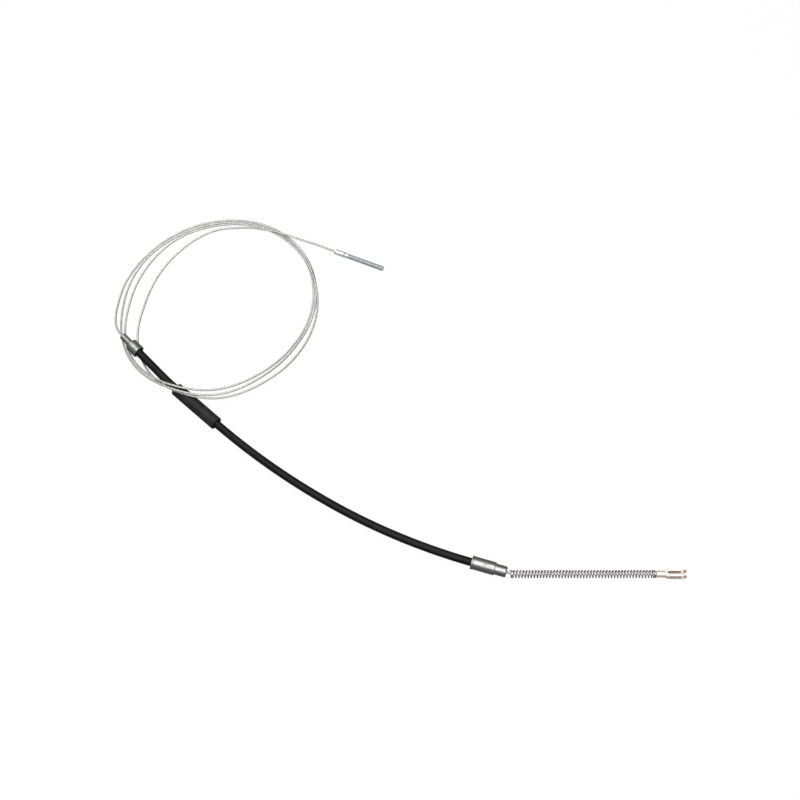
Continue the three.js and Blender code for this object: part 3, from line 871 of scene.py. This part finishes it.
@dataclass
class WireRope:
    """The rope: six strands laid round a core, in the coil, in the conduit and inside the spring."""

    sizes: Sizes = field(default_factory=Sizes)
    centre: tuple[float, float] = (-203.2, 187.3)
    radii: tuple[tuple[float, ...], ...] = (
        (113.9, 109.7, 110.0, 114.9, 120.3, 118.6, 111.2, 105.0, 110.0, 122.0, 121.4, 117.4),
        (108.9, 106.8, 107.0, 111.9, 117.4, 115.8, 108.3, 102.2, 105.5, 115.7, 117.8, 114.5),
        (102.4, 99.3, 103.7, 108.9, 114.6, 115.6, 114.3, 113.7, 117.3, 124.9, 118.5, 102.0),
        (84.9, 81.7, 88.5, 101.8, 113.0),
    )
    lead_out: tuple[tuple[float, float, float], ...] = ((-317.6, 162.6, 11.0),)
    tail: tuple[tuple[float, float, float], ...] = (
        (-185.3, 290.8, 4.2), (-170.1, 290.3, 5.4), (-155.9, 287.4, 6.8), (-141.1, 284.5, 6.8),
        (-129.0, 280.8, 6.2), (-111.7, 275.6, 3.9), (-92.9, 269.1, 3.1),
    )
    first_landing: tuple[tuple[float, float], ...] = ((0, 5.8), (22, 1.5), (45, 0))
    upper_descent: tuple[tuple[float, float], ...] = ((301, 12.9), (313, 5.4), (326, 0.9), (343, 0))
    lower_descent: tuple[tuple[float, float], ...] = ((301, 8.8), (313, 1.5), (326, 0))
    exit_steps: tuple[float, ...] = (2.0, 4.0)
    rod_steps: tuple[float, ...] = (-8.0, 0.0, 6.0)
    rod_mouth: tuple[float, float, float] = (-69.9, 259.5, 3.1)
    rod_heading: float = -22.7
    rope_depth: float = 12.7
    knots_per_turn: int = 24
    radius_every: float = 30.0
    around: int = 30
    coil_spacing: float = 1.4
    inside_rings: int = 340
    rear_rings: int = 130

    def heights(self) -> list[np.ndarray]:
        """Tables of degrees turned from due west and height over the resting height, one for each lap."""
        over_sleeve = 2 * self.sizes.sleeve_r + self.sizes.seat_gap
        one_up = 2 * self.sizes.rope_r + self.sizes.seat_gap
        top = over_sleeve + one_up
        upper = [(190, 0), (279, top), (290, top), *self.upper_descent]
        return [
            np.array([*self.first_landing, *upper]),
            np.array([(0, 0), *upper]),
            np.array([(0, 0), (82, 0), (112, one_up), (180, one_up), (279, over_sleeve), (290, over_sleeve),
                      *self.lower_descent]),
            np.array([(0, 0), (45, 0), (90, one_up)]),
        ]

    def coil_knots(self) -> np.ndarray:
        """Works out the coil's turns: radius by a smooth cubic through the lap radii, height by eased steps.

        x = centre + radius x cos(180 - turned), y = centre + radius x sin(180 - turned).

        The radius between two of its values, t of the way, is Catmull and Rom's cubic through the four
        values about it.

        Returns:
            Knots in millimetres from due west on the first lap to due north on the last.
        """
        radii = np.concatenate([np.array(row) for row in self.radii])
        last = len(self.radii) - 1
        steps = np.arange(0, last * self.knots_per_turn + self.knots_per_turn // 4 + 1)
        turned = steps * 360.0 / self.knots_per_turn
        along = turned / self.radius_every
        index = np.minimum(np.floor(along).astype(int), len(radii) - 2)
        t = along - index
        p0, p1, p2, p3 = (radii[np.clip(index + shift, 0, len(radii) - 1)] for shift in (-1, 0, 1, 2))
        radius = p1 + t * (p2 - p0 + t * (2 * p0 - 5 * p1 + 4 * p2 - p3 + t * (3 * (p1 - p2) + p3 - p0))) / 2
        lap = np.minimum((turned // 360).astype(int), last)
        height = np.zeros(len(turned))
        for number, table in enumerate(self.heights()):
            own = lap == number
            height[own] = self.eased(table, turned[own] - 360 * number)
        angle = np.pi - np.radians(turned)
        return np.stack([
            self.centre[0] + radius * np.cos(angle),
            self.centre[1] + radius * np.sin(angle),
            self.sizes.rope_r + height,
        ], axis=1)

    @staticmethod
    def eased(table: np.ndarray, place: np.ndarray) -> np.ndarray:
        """Reads a table of places and values, easing from one row to the next: t x t x (3 - 2t)."""
        index = np.clip(np.searchsorted(table[:, 0], place, side="right") - 1, 0, len(table) - 2)
        low, high = table[index], table[index + 1]
        t = np.clip((place - low[:, 0]) / (high[:, 0] - low[:, 0]), 0, 1)
        return low[:, 1] + (high[:, 1] - low[:, 1]) * t * t * (3 - 2 * t)

    def coil_line(self, spacing: float) -> np.ndarray:
        """The bare rope's whole line, from the guide tube's tip to its end in the rod's barrel.

        Args:
            spacing: distance between the line's points.

        Returns:
            The line's points in millimetres.
        """
        exits = self.sizes.guide_tip_at - np.array([self.sizes.seat_gap, *self.exit_steps])
        out = self.sizes.conduit.place(exits)[0]
        heading = math.radians(self.rod_heading)
        way = np.array([math.cos(heading), math.sin(heading), 0.0])
        rod = np.array(self.rod_mouth) + way * np.array([*self.rod_steps, self.rope_depth])[:, None]
        knots = np.concatenate([out, np.array(self.lead_out), self.coil_knots(), np.array(self.tail), rod])
        line = spline(knots, spacing)
        top = max(table[:, 1].max() for table in self.heights())
        line[:, 2] = np.clip(line[:, 2], self.sizes.rope_r, self.sizes.rope_r + top)
        return line

    def strand_section(self, around: int) -> np.ndarray:
        """Outline of equal strands round a core: r = 2s cos(a) + sqrt(s^2 - (2s sin(a))^2).

        Args:
            around: points in the outline.

        Returns:
            The radius r at each, s being a strand's radius and a the angle from the nearest crest.
        """
        strand_r = self.sizes.rope_r / 3
        share = (np.arange(around) * self.sizes.strands / around + 0.5) % 1 - 0.5
        a = share * 2 * np.pi / self.sizes.strands
        under_root = strand_r**2 - (2 * strand_r * np.sin(a)) ** 2
        return 2 * strand_r * np.cos(a) + np.sqrt(np.maximum(under_root, 0))

    def laid(self, name: str, path: Path) -> bpy.types.Object:
        """Carries the strands' outline along a line, turning once in each lay.

        Args:
            name: the piece's name.
            path: the framed line.

        Returns:
            The rope piece.
        """
        run = path.distances()
        section = self.strand_section(self.around)
        angle = 2 * np.pi * (np.arange(self.around) / self.around + run[:, None] / self.sizes.rope_lay)
        rings = path.points[:, None] + section[None, :, None] * round_about(path, angle)
        return loft(name, rings, Ends.CAPPED, run)

    def make_coil(self, dresser: Dresser) -> tuple[bpy.types.Object, np.ndarray]:
        """Makes the bare rope in its coil.

        Args:
            dresser: what finishes the piece.

        Returns:
            The piece and its line in millimetres.
        """
        line = self.coil_line(self.coil_spacing)
        piece = self.laid("rope_coil", Path.facing(line, np.gradient(line, axis=0)))
        dresser.dress(piece, ROPE_WIRE, ASSEMBLY, "rope_steel", "cable_coil")
        return piece, line

    def make_rest(self, dresser: Dresser) -> None:
        """Makes the rope inside the conduit and the rope inside the spring.

        Args:
            dresser: what finishes the pieces.
        """
        sizes = self.sizes
        inside = sizes.conduit.path(np.linspace(sizes.guide_tip_at, sizes.mouth_at, self.inside_rings))
        dresser.dress(self.laid("rope_in_conduit", inside), ROPE_WIRE, ASSEMBLY, "rope_steel", "cable_core")
        route = sizes.rear_rope
        length = sum(stretch.length for stretch in route.stretches)
        rear_path = route.path(np.linspace(sizes.seat_gap, length, self.rear_rings))
        rear = self.laid("rope_in_spring", rear_path)
        dresser.dress(rear, ROPE_WIRE, ASSEMBLY, "rope_steel", "cable_rear")
        reach = sizes.neck_x + sizes.rope_in_neck - float(route.start[0])
        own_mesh(rear)


# Conduit


@dataclass
class Conduit:
    """Jacket, inner layers and guard sleeve."""

    sizes: Sizes = field(default_factory=Sizes)
    cup_floor: float = 2.0
    collar_bore: float = 20.0
    sleeve_chamfer: float = 0.8
    sleeve_rounding: float = 0.35
    jacket_rings: int = 260
    jacket_around: int = 64

    def make(self, dresser: Dresser) -> None:
        """Makes the jacket and the sleeve and repaints the hidden layers.

        Args:
            dresser: what finishes the pieces.
        """
        sizes = self.sizes
        first = -sizes.cup_length + self.cup_floor + sizes.seat_gap
        last = sizes.collar_at + self.collar_bore - sizes.seat_gap
        out = np.linspace(first, last, self.jacket_rings)
        inner_r = sizes.jacket_r - sizes.jacket_wall
        outer = np.stack([np.full(len(out), sizes.jacket_r), out], axis=1)
        inner = np.stack([np.full(len(out), inner_r), out[::-1]], axis=1)
        profile = np.concatenate([outer, inner])
        jacket = turned("jacket", sizes.conduit, profile, self.jacket_around)
        dresser.dress(jacket, JACKET_PLASTIC, ASSEMBLY, "jacket_plastic", "conduit_jacket")
        dresser.repaint("conduit_spiral", SPIRAL_WIRE)
        dresser.repaint("conduit_liner", LINER_PLASTIC)
        start = sizes.sleeve_at
        end = start + sizes.sleeve_length
        bore, radius, edge = sizes.jacket_bore_r, sizes.sleeve_r, self.sleeve_chamfer
        corners = np.array([
            (bore, start), (radius - edge, start), (radius, start + edge), (radius, end - edge),
            (radius - edge, end), (bore, end),
        ])
        sleeve = turned("sleeve", sizes.conduit, soften(corners, self.sleeve_rounding))
        dresser.dress(sleeve, SLEEVE_RUBBER, ASSEMBLY, "sleeve_rubber", "guard_sleeve")


# Ferrules

FERRULE_ROUNDING = 0.25


@dataclass
class FrontFerrule:
    """The cup crimped on the conduit's front end, and its guide tube."""

    sizes: Sizes = field(default_factory=Sizes)
    cup_r: float = 7.25
    tube_r: float = 3.9
    chamfer: float = 1.0
    cup_floor: float = 2.0
    crimp_at: float = 7.7
    crimp_width: float = 2.5
    crimp_depth: float = 0.35
    recess_widen: float = 1.1
    recess_depth: float = 3.0
    edge: float = 0.3

    def make(self, dresser: Dresser) -> None:
        """Makes the ferrule.

        Args:
            dresser: what finishes the piece.
        """
        sizes = self.sizes
        tip = sizes.guide_tip_at
        shoulder, mouth = -sizes.cup_length, 0.0
        crimp, half, deep = shoulder + self.crimp_at, self.crimp_width / 2, self.cup_r - self.crimp_depth
        guide, bore = sizes.guide_bore_r, sizes.jacket_bore_r
        recess = bore + self.recess_widen
        corners = np.array([
            (guide, tip), (self.tube_r - self.edge, tip), (self.tube_r, tip + self.edge),
            (self.tube_r, shoulder),
            (self.cup_r - self.chamfer, shoulder), (self.cup_r, shoulder + self.chamfer),
            (self.cup_r, crimp - half), (deep, crimp - half / 2), (deep, crimp + half / 2),
            (self.cup_r, crimp + half),
            (self.cup_r, mouth - self.edge), (self.cup_r - self.edge, mouth), (recess, mouth),
            (recess, mouth - self.recess_depth), (bore, mouth - self.recess_depth),
            (bore, shoulder + self.cup_floor), (guide, shoulder + self.cup_floor),
        ])
        piece = turned("front_collar", sizes.conduit, soften(corners, FERRULE_ROUNDING))
        dresser.dress(piece, FERRULE_STEEL, ASSEMBLY, "ferrule_steel", "front_ferrule")


@dataclass
class RearFerrule:
    """The stepped collar on the conduit's rear end."""

    sizes: Sizes = field(default_factory=Sizes)
    collar_r: float = 7.2
    lip_proud: float = 0.3
    lip_width: float = 1.5
    bore_depth: float = 20.0
    nose_r: float = 6.0
    nose_chamfer: float = 0.8
    bellmouth: float = 0.8
    edge: float = 0.3

    def make(self, dresser: Dresser) -> None:
        """Makes the ferrule.

        Args:
            dresser: what finishes the piece.
        """
        sizes = self.sizes
        start, step, end = sizes.collar_at, sizes.collar_at + sizes.collar_length, sizes.mouth_at
        guide, bore, collar = sizes.guide_bore_r, sizes.jacket_bore_r, self.collar_r
        lip = collar + self.lip_proud
        corners = np.array([
            (bore, start), (lip, start), (lip, start + self.lip_width),
            (collar, start + self.lip_width + self.lip_proud), (collar, step - self.edge),
            (collar - self.edge, step), (self.nose_r, step), (self.nose_r, end - self.nose_chamfer),
            (self.nose_r - self.nose_chamfer, end), (guide + self.bellmouth, end),
            (guide, end - self.bellmouth),
            (guide, start + self.bore_depth), (bore, start + self.bore_depth),
        ])
        piece = turned("rear_collar", sizes.conduit, soften(corners, FERRULE_ROUNDING))
        dresser.dress(piece, FERRULE_STEEL, ASSEMBLY, "ferrule_steel", "rear_ferrule")


# Return spring


@dataclass
class ReturnSpring:
    """The long compression spring, wound right-handed and closed at both ends."""

    sizes: Sizes = field(default_factory=Sizes)
    wire_r: float = 0.7
    mean_r: float = 3.7
    turns: float = 48.5
    closed_turns: float = 1.25
    ramp_turns: float = 0.5
    closed_gap: float = 0.12
    steps_per_turn: int = 26
    around: int = 12

    def advance(self, turn: np.ndarray) -> np.ndarray:
        """Distance along the axis: the closed pitch throughout, plus an extra pitch that ramps in and out.

        Args:
            turn: turns from the start.

        Returns:
            Millimetres along the axis.
        """

        def ramp(past: np.ndarray) -> np.ndarray:
            """Integral of a ramp from 0 to 1."""
            inside = np.clip(past, 0, self.ramp_turns)
            return inside**2 / (2 * self.ramp_turns) + np.maximum(past - self.ramp_turns, 0)

        length = self.sizes.spring_length - 2 * self.wire_r
        closed = 2 * self.wire_r + self.closed_gap
        open_turns = self.turns - 2 * self.closed_turns - self.ramp_turns
        extra = (length - closed * self.turns) / open_turns
        out = self.turns - self.closed_turns - self.ramp_turns
        return closed * turn + extra * (ramp(turn - self.closed_turns) - ramp(turn - out))

    def make(self, dresser: Dresser) -> None:
        """Winds the wire: (x, y, z) = (advance, mean radius x cos, mean radius x sin).

        Args:
            dresser: what finishes the piece.
        """
        sizes = self.sizes
        turn = np.linspace(0, self.turns, int(self.turns * self.steps_per_turn) + 1)
        angle = 2 * np.pi * turn
        start = np.array([sizes.spring_x + self.wire_r, sizes.spring_y, sizes.axis_z])
        radial = np.stack([np.zeros_like(angle), np.cos(angle), np.sin(angle)], axis=1)
        centre = start + self.advance(turn)[:, None] * np.array([1.0, 0.0, 0.0]) + self.mean_r * radial
        path = Path(centre, radial, unit(np.cross(unit(np.gradient(centre, axis=0)), radial)))
        around = 2 * np.pi * np.arange(self.around) / self.around
        rings = centre[:, None] + self.wire_r * round_about(path, around)
        piece = loft("spring_coils", rings, Ends.CAPPED, path.distances())
        dresser.dress(piece, SPRING_ZINC, ASSEMBLY, "spring_steel", "return_spring")
        anchor = (sizes.spring_x * MM, sizes.spring_y * MM, sizes.axis_z * MM)
        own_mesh(piece)


# Fork


@dataclass
class Fork:
    """A folded strip with two ears, a pin hole through both and a neck swaged on the rope."""

    sizes: Sizes = field(default_factory=Sizes)
    strip: float = 1.5
    gap: float = 4.6
    half_height: float = 4.6
    web_half: float = 3.3
    flare_length: float = 5.0
    length: float = 22.3
    fold_r: float = 1.45
    hole_r: float = 2.5
    notch_r: float = 1.1
    notch_at: float = 3.8
    neck_r: float = 3.6
    bore_depth: float = 9.0
    edge: float = 0.3
    rounding: float = 0.2
    bevel: float = 0.22
    weld: float = 0.002
    neck_taper: float = 0.7
    neck_sink: float = 0.75
    joint_x: float = 9.0
    notch_span: tuple[float, float] = (2.3, 5.3)
    notch_rows: int = 31
    joint_rows: int = 7
    fold_rows: int = 24
    neck_around: int = 64
    strip_columns: int = 13
    edge_steps: int = 8
    end_steps: int = 32
    ear_rings: int = 7

    @property
    def mid_half(self) -> float:
        """Half the distance between the middles of the two ears."""
        return (self.gap + self.strip) / 2

    def folded(self, run: np.ndarray, across: np.ndarray) -> np.ndarray:
        """Folds the flat strip: a straight web, a quarter turn of the fold radius, then a straight ear.

        Args:
            run: distance along the strip from the middle of the web; its sign is the side.
            across: height across the strip.

        Returns:
            Points of the strip's middle surface, from the web's outer face.
        """
        side = np.sign(run)
        flat = self.mid_half - self.fold_r
        quarter = self.fold_r * np.pi / 2
        past = np.abs(run) - flat
        angle = np.clip(past / self.fold_r, 0, np.pi / 2)
        ear = np.maximum(past - quarter, 0)
        x = self.strip / 2 + self.fold_r * (1 - np.cos(angle)) + ear
        y = side * (np.minimum(np.abs(run), flat) + self.fold_r * np.sin(angle))
        return np.stack([x, y, across], axis=-1)

    def run_of(self, x: np.ndarray | float) -> np.ndarray | float:
        """Distance along the strip of a place on the straight ear."""
        start = self.mid_half - self.fold_r + self.fold_r * np.pi / 2
        return start + (x - self.strip / 2 - self.fold_r)

    def half_at(self, x: np.ndarray) -> np.ndarray:
        """Half height of the strip: a flare to full height, less a round relief notch.

        Args:
            x: distance from the web's outer face.

        Returns:
            The half height there.
        """
        flare = np.clip(x / self.flare_length, 0, 1)
        plain = self.web_half + (self.half_height - self.web_half) * flare
        bite = np.sqrt(np.maximum(self.notch_r**2 - (x - self.notch_at) ** 2, 0))
        return np.minimum(plain, np.where(bite > 0, self.half_height - bite, plain))

    def ear(self, across: np.ndarray) -> np.ndarray:
        """Grid of one ear from its pin hole out to its outline, in strip coordinates from the ear's root.

        Each ray runs straight from the hole's edge to the outline: the joint line, an edge or the round end.

        Args:
            across: shares of the half height at the joint line, from -1 to 1.

        Returns:
            x and height by ring and ray.
        """
        half, centre = self.half_height, self.length - self.half_height
        joint = np.stack([np.full(len(across), self.joint_x), across * half], axis=1)
        edge_x = np.linspace(self.joint_x, centre, self.edge_steps + 1)[1:-1]
        top = np.stack([edge_x, np.full(len(edge_x), half)], axis=1)
        angle = np.linspace(np.pi / 2, -np.pi / 2, self.end_steps + 1)
        end = np.stack([centre + half * np.cos(angle), half * np.sin(angle)], axis=1)
        outline = np.concatenate([joint, top, end, top[::-1] * [1, -1]])
        rim = [centre, 0] + unit(outline - [centre, 0]) * self.hole_r
        share = np.linspace(0, 1, self.ear_rings)[:, None, None]
        return rim[None] * (1 - share) + outline[None] * share

    def strip_mesh(self) -> bpy.types.Object:
        """Builds the strip's middle surface: the folded web grid and two ear grids that share its ends.

        Returns:
            The open middle surface as one piece.
        """
        across = np.linspace(-1, 1, self.strip_columns)
        near, far = self.notch_span
        row = (far - near) / (self.notch_rows - 1)
        notch = np.linspace(near, far, self.notch_rows)
        fine = np.concatenate([notch, np.linspace(far + 3 * row, self.joint_x, self.joint_rows)])
        fold = np.linspace(0, self.run_of(near - row), self.fold_rows)
        half_run = np.concatenate([fold, self.run_of(fine)])
        run = np.concatenate([-half_run[::-1], half_run[1:]])
        x_at = self.folded(run, np.zeros_like(run))[:, 0]
        height = across[None, :] * self.half_at(x_at)[:, None]
        grid = self.folded(np.broadcast_to(run[:, None], height.shape), height)
        points = [grid.reshape(-1, 3)]
        quads = [grid_faces(*grid.shape[:2], False, False)]
        base = len(points[0])
        for side in (-1, 1):
            flat = self.ear(across)
            ear = self.folded(side * self.run_of(flat[..., 0]), flat[..., 1])
            faces = grid_faces(*ear.shape[:2], False, True)
            quads.append(base + (faces if side > 0 else faces[:, ::-1]))
            points.append(ear.reshape(-1, 3))
            base += len(points[-1])
        sizes = self.sizes
        origin = np.array([sizes.neck_x + sizes.neck_length, sizes.spring_y, sizes.axis_z])
        faces = np.concatenate(quads)
        placed = (np.concatenate(points) + origin) * MM
        maps = np.zeros((faces.size, 2))
        return mesh_object("fork_ears", placed, faces.reshape(-1), np.full(len(faces), 4), maps)

    def make(self, dresser: Dresser) -> None:
        """Makes the folded strip and the neck.

        Args:
            dresser: what finishes the pieces.
        """
        strip = self.strip_mesh()
        work = bmesh.new()
        work.from_mesh(strip.data)
        bmesh.ops.remove_doubles(work, verts=work.verts, dist=self.weld * MM)
        bmesh.ops.recalc_face_normals(work, faces=work.faces)
        work.to_mesh(strip.data)
        work.free()
        wall = strip.modifiers.new("wall", "SOLIDIFY")
        wall.thickness = self.strip * MM
        wall.offset = 0.0
        wall.use_even_offset = True
        soft = strip.modifiers.new("edges", "BEVEL")
        soft.width = self.bevel * MM
        soft.segments = 3
        soft.limit_method = "ANGLE"
        soft.angle_limit = SHARP_ANGLE
        dresser.dress(strip, FORK_ZINC, BRAKE_FORK, "fork_zinc", "fork")
        sizes = self.sizes
        bore, deep, neck, edge = sizes.swage_bore_r, self.bore_depth, self.neck_r, self.edge
        end = sizes.neck_length + self.strip * self.neck_sink
        corners = np.array([
            (0.0, deep), (bore, deep), (bore, 0.0), (neck - edge, 0.0), (neck, edge),
            (neck, sizes.neck_length - self.rounding), (neck - self.neck_taper, end), (0.0, end),
        ])
        profile = soften(corners, self.rounding, closed=False)
        barrel = turned("fork_neck", sizes.fork_axis, profile, self.neck_around, Ends.OPEN)
        dresser.dress(barrel, FORK_ZINC, BRAKE_FORK, "fork_zinc", "fork")


# Adjuster rod


@dataclass
class AdjusterRod:
    """A barrel swaged on the rope, with a witness hole, and a long threaded shank."""

    sizes: Sizes = field(default_factory=Sizes)
    rope: WireRope = field(default_factory=WireRope)
    barrel_r: float = 3.1
    barrel_length: float = 14.5
    bore_depth: float = 13.0
    hole_r: float = 0.8
    hole_at: float = 11.9
    hole_tilt: float = 24.0
    runout_r: float = 2.5
    runout_length: float = 1.5
    crest_r: float = 2.9
    thread_depth: float = 0.54
    pitch: float = 1.0
    shank_length: float = 45.2
    chamfer: float = 0.9
    edge: float = 0.3
    rounding: float = 0.2
    barrel_rows: int = 90
    thread_row: float = 0.08
    flank: float = 1.25
    crest: float = 0.12
    fade_length: float = 1.5
    hole_depth: float = 1.5
    hole_rim: float = 0.24
    around: int = 56

    @property
    def shank_at(self) -> float:
        """Where the shank starts along the rod."""
        return self.barrel_length + self.runout_length

    @property
    def end_at(self) -> float:
        """Where the shank ends along the rod."""
        return self.shank_at + self.shank_length

    def profile(self) -> np.ndarray:
        """Bore, barrel and run-out by their corners, then the shank in fine even rows.

        Returns:
            Rows of radius and distance.
        """
        bore, edge = self.sizes.swage_bore_r, self.edge
        barrel = soften(np.array([
            (0.0, self.bore_depth), (bore, self.bore_depth), (bore, 0.0), (self.barrel_r - edge, 0.0),
            (self.barrel_r, edge), (self.barrel_r, self.barrel_length - edge),
            (self.runout_r, self.barrel_length), (self.runout_r, self.shank_at),
        ]), self.rounding, closed=False)
        wall = barrel[:, 0] > self.barrel_r - 1e-6
        margin = edge + 2 * self.rounding
        level = np.linspace(margin, self.barrel_length - margin, self.barrel_rows)
        fine = np.stack([np.full(len(level), self.barrel_r), level], axis=1)
        first = int(np.flatnonzero(wall & (barrel[:, 1] < self.barrel_length / 2))[-1]) + 1
        barrel = np.concatenate([barrel[:first], fine, barrel[first:]])
        along = np.arange(self.shank_at + self.thread_row, self.end_at, self.thread_row)
        tip = np.clip((self.end_at - along) / self.chamfer, 0, 1)
        thread = np.stack([self.crest_r - self.chamfer * (1 - tip), along], axis=1)
        end = [(self.crest_r - self.chamfer, self.end_at), (0.0, self.end_at)]
        return np.concatenate([barrel, thread, end])

    def relief(self, profile: np.ndarray) -> np.ndarray:
        """Depth of the thread and of the witness hole, by profile row and place round the ring.

        The thread is a right-handed V: depth x |2 x fraction(distance / pitch - share of a turn) - 1|, with
        flat crests and roots. The hole is a pit whose depth rises steeply at its rim.

        Args:
            profile: rows of radius and distance.

        Returns:
            What is added to the radius.
        """
        share = np.arange(self.around)[None, :] / self.around
        radius, along = profile[:, :1], profile[:, 1:]
        phase = (along / self.pitch - share) % 1
        groove = self.thread_depth * np.clip(self.flank * (1 - np.abs(2 * phase - 1)) - self.crest, 0, 1)
        fade = np.clip((along - self.shank_at) / self.fade_length, 0, 1)
        floor = np.maximum(radius - (self.crest_r - self.thread_depth), 0)
        threaded = (along > self.shank_at) & (along < self.end_at)
        thread = np.where(threaded, np.minimum(groove * fade, floor), 0)
        place = math.pi / 2 + math.radians(self.hole_tilt)
        offset = (2 * np.pi * share - place + np.pi) % (2 * np.pi) - np.pi
        reach = np.hypot(offset * self.barrel_r, along - self.hole_at)
        pit = self.hole_depth * np.clip((self.hole_r - reach) / self.hole_rim + 0.5, 0, 1)
        return -thread - np.where(radius > self.barrel_r - 1e-6, pit, 0)

    def make(self, dresser: Dresser) -> bpy.types.Object:
        """Makes the rod.

        Args:
            dresser: what finishes the piece.

        Returns:
            The piece.
        """
        route = Route(self.rope.rod_mouth, self.rope.rod_heading, 0.0, (Stretch(self.end_at),))
        profile = self.profile()
        piece = turned("rod", route, profile, self.around, Ends.OPEN, self.relief(profile))
        return dresser.dress(piece, ROD_ZINC, ASSEMBLY, "rod_zinc", "adjuster_rod")


# Studio


@dataclass
class Studio:
    """White floor, soft lamps and the camera.

    The camera's target and distance are in millimetres, all other lengths in metres.
    """

    target: tuple[float, float, float] = (5.8, 68.3, 0.0)
    elevation: float = 64.0
    distance: float = 2000.0
    focal_pixels: float = 2000.0 / 1.12
    frame_pixels: float = 800.0
    sensor_width: float = 0.036
    view_length: float = 20.0
    aim: tuple[float, float, float] = (0.0, 0.05, 0.0)
    floor_half: float = 6.0
    floor_drop: float = 0.0002
    floor_glow: float = 0.94
    floor_in_metal: float = 0.10
    sky_strength: float = 0.16

    def camera(self) -> None:
        """Sets the camera: target + distance along the elevation, looking at the target."""
        lens = bpy.data.cameras.new("camera")
        lens.sensor_width = self.sensor_width / MM
        lens.sensor_fit = "HORIZONTAL"
        lens.lens = self.focal_pixels / self.frame_pixels * lens.sensor_width
        lens.clip_end = self.view_length
        camera = bpy.data.objects.new("camera", lens)
        tilt = math.radians(self.elevation)
        away = Vector((0.0, -math.cos(tilt), math.sin(tilt))) * self.distance
        camera.location = (Vector(self.target) + away) * MM
        camera.rotation_euler = (math.pi / 2 - tilt, 0.0, 0.0)
        bpy.context.scene.collection.objects.link(camera)
        bpy.context.scene.camera = camera

    def floor(self) -> None:
        """Lays a floor that the camera sees nearly white, with a faint shadow, and metal sees dim."""
        half = self.floor_half
        corners = np.array([(-half, -half, 0), (half, -half, 0), (half, half, 0), (-half, half, 0)], float)
        corners[:, 2] = -self.floor_drop
        floor = mesh_object("floor", corners, np.arange(4), np.array([4]))
        material = bpy.data.materials.new("floor_white")
        material.use_nodes = True
        nodes = Nodes(material.node_tree)
        nodes.tree.nodes.remove(nodes.tree.nodes["Principled BSDF"])
        plain = nodes.add("BsdfDiffuse", {"Color": (0.80, 0.80, 0.80, 1.0)})
        bright = nodes.add("Emission", {"Strength": 1.0})
        dim = nodes.add("Emission", {"Strength": self.floor_in_metal})
        rays = nodes.add("LightPath").outputs
        seen = nodes.math("MAXIMUM", rays["Is Camera Ray"], rays["Is Transmission Ray"])
        mirrored = nodes.shade(rays["Is Glossy Ray"], plain, dim)
        result = nodes.shade(seen, mirrored, nodes.shade(self.floor_glow, plain, bright))
        nodes.tree.links.new(result.outputs[0], nodes.tree.nodes["Material Output"].inputs["Surface"])
        floor.data.materials.append(material)

    def lights(self) -> None:
        """Hangs a broad lamp overhead, a key from the back left and a dim sky that the camera sees white."""
        world = bpy.data.worlds.new("studio")
        world.use_nodes = True
        nodes = Nodes(world.node_tree)
        sky = nodes.tree.nodes["Background"]
        sky.inputs["Color"].default_value = (1.0, 1.0, 1.0, 1.0)
        camera_ray = nodes.add("LightPath").outputs["Is Camera Ray"]
        strength = nodes.math("MULTIPLY_ADD", camera_ray, 1.0 - self.sky_strength, self.sky_strength)
        nodes.tree.links.new(strength, sky.inputs["Strength"])
        bpy.context.scene.world = world
        self.lamp("overhead", (0.0, -0.3, 2.3), (3.0, 2.8), 82.0)
        self.lamp("back_left", (-1.3, 1.4, 1.2), (1.0, 0.5), 10.0)

    def lamp(
        self, name: str, place: tuple[float, float, float], size: tuple[float, float], power: float
    ) -> None:
        """Hangs one rectangular lamp that faces the part.

        Args:
            name: the lamp's name.
            place: where it hangs, in metres.
            size: its width and height in metres.
            power: its power in watts.
        """
        light = bpy.data.lights.new(name, "AREA")
        light.shape = "RECTANGLE"
        light.size, light.size_y = size
        light.energy = power
        lamp = bpy.data.objects.new(name, light)
        lamp.location = place
        lamp.rotation_euler = (Vector(self.aim) - Vector(place)).to_track_quat("-Z", "Y").to_euler()
        bpy.context.scene.collection.objects.link(lamp)

    def set_up(self) -> None:
        """Sets camera, floor, lamps and the plain view transform."""
        self.camera()
        self.floor()
        self.lights()
        bpy.context.scene.view_settings.view_transform = "Standard"


def main() -> None:
    """Builds the cable piece by piece."""
    sizes = Sizes()
    Studio().set_up()
    dresser = Dresser(Effects())
    rope = WireRope(sizes)
    coil, line = rope.make_coil(dresser)
    rod = AdjusterRod(sizes, rope).make(dresser)
    length = float(running_length(line)[-1]) * MM
    LOG.info("bare rope: %.3f m", length)
    rope.make_rest(dresser)
    Conduit(sizes).make(dresser)
    FrontFerrule(sizes).make(dresser)
    RearFerrule(sizes).make(dresser)
    ReturnSpring(sizes).make(dresser)
    Fork(sizes).make(dresser)


if __name__ == "__main__":
    main()
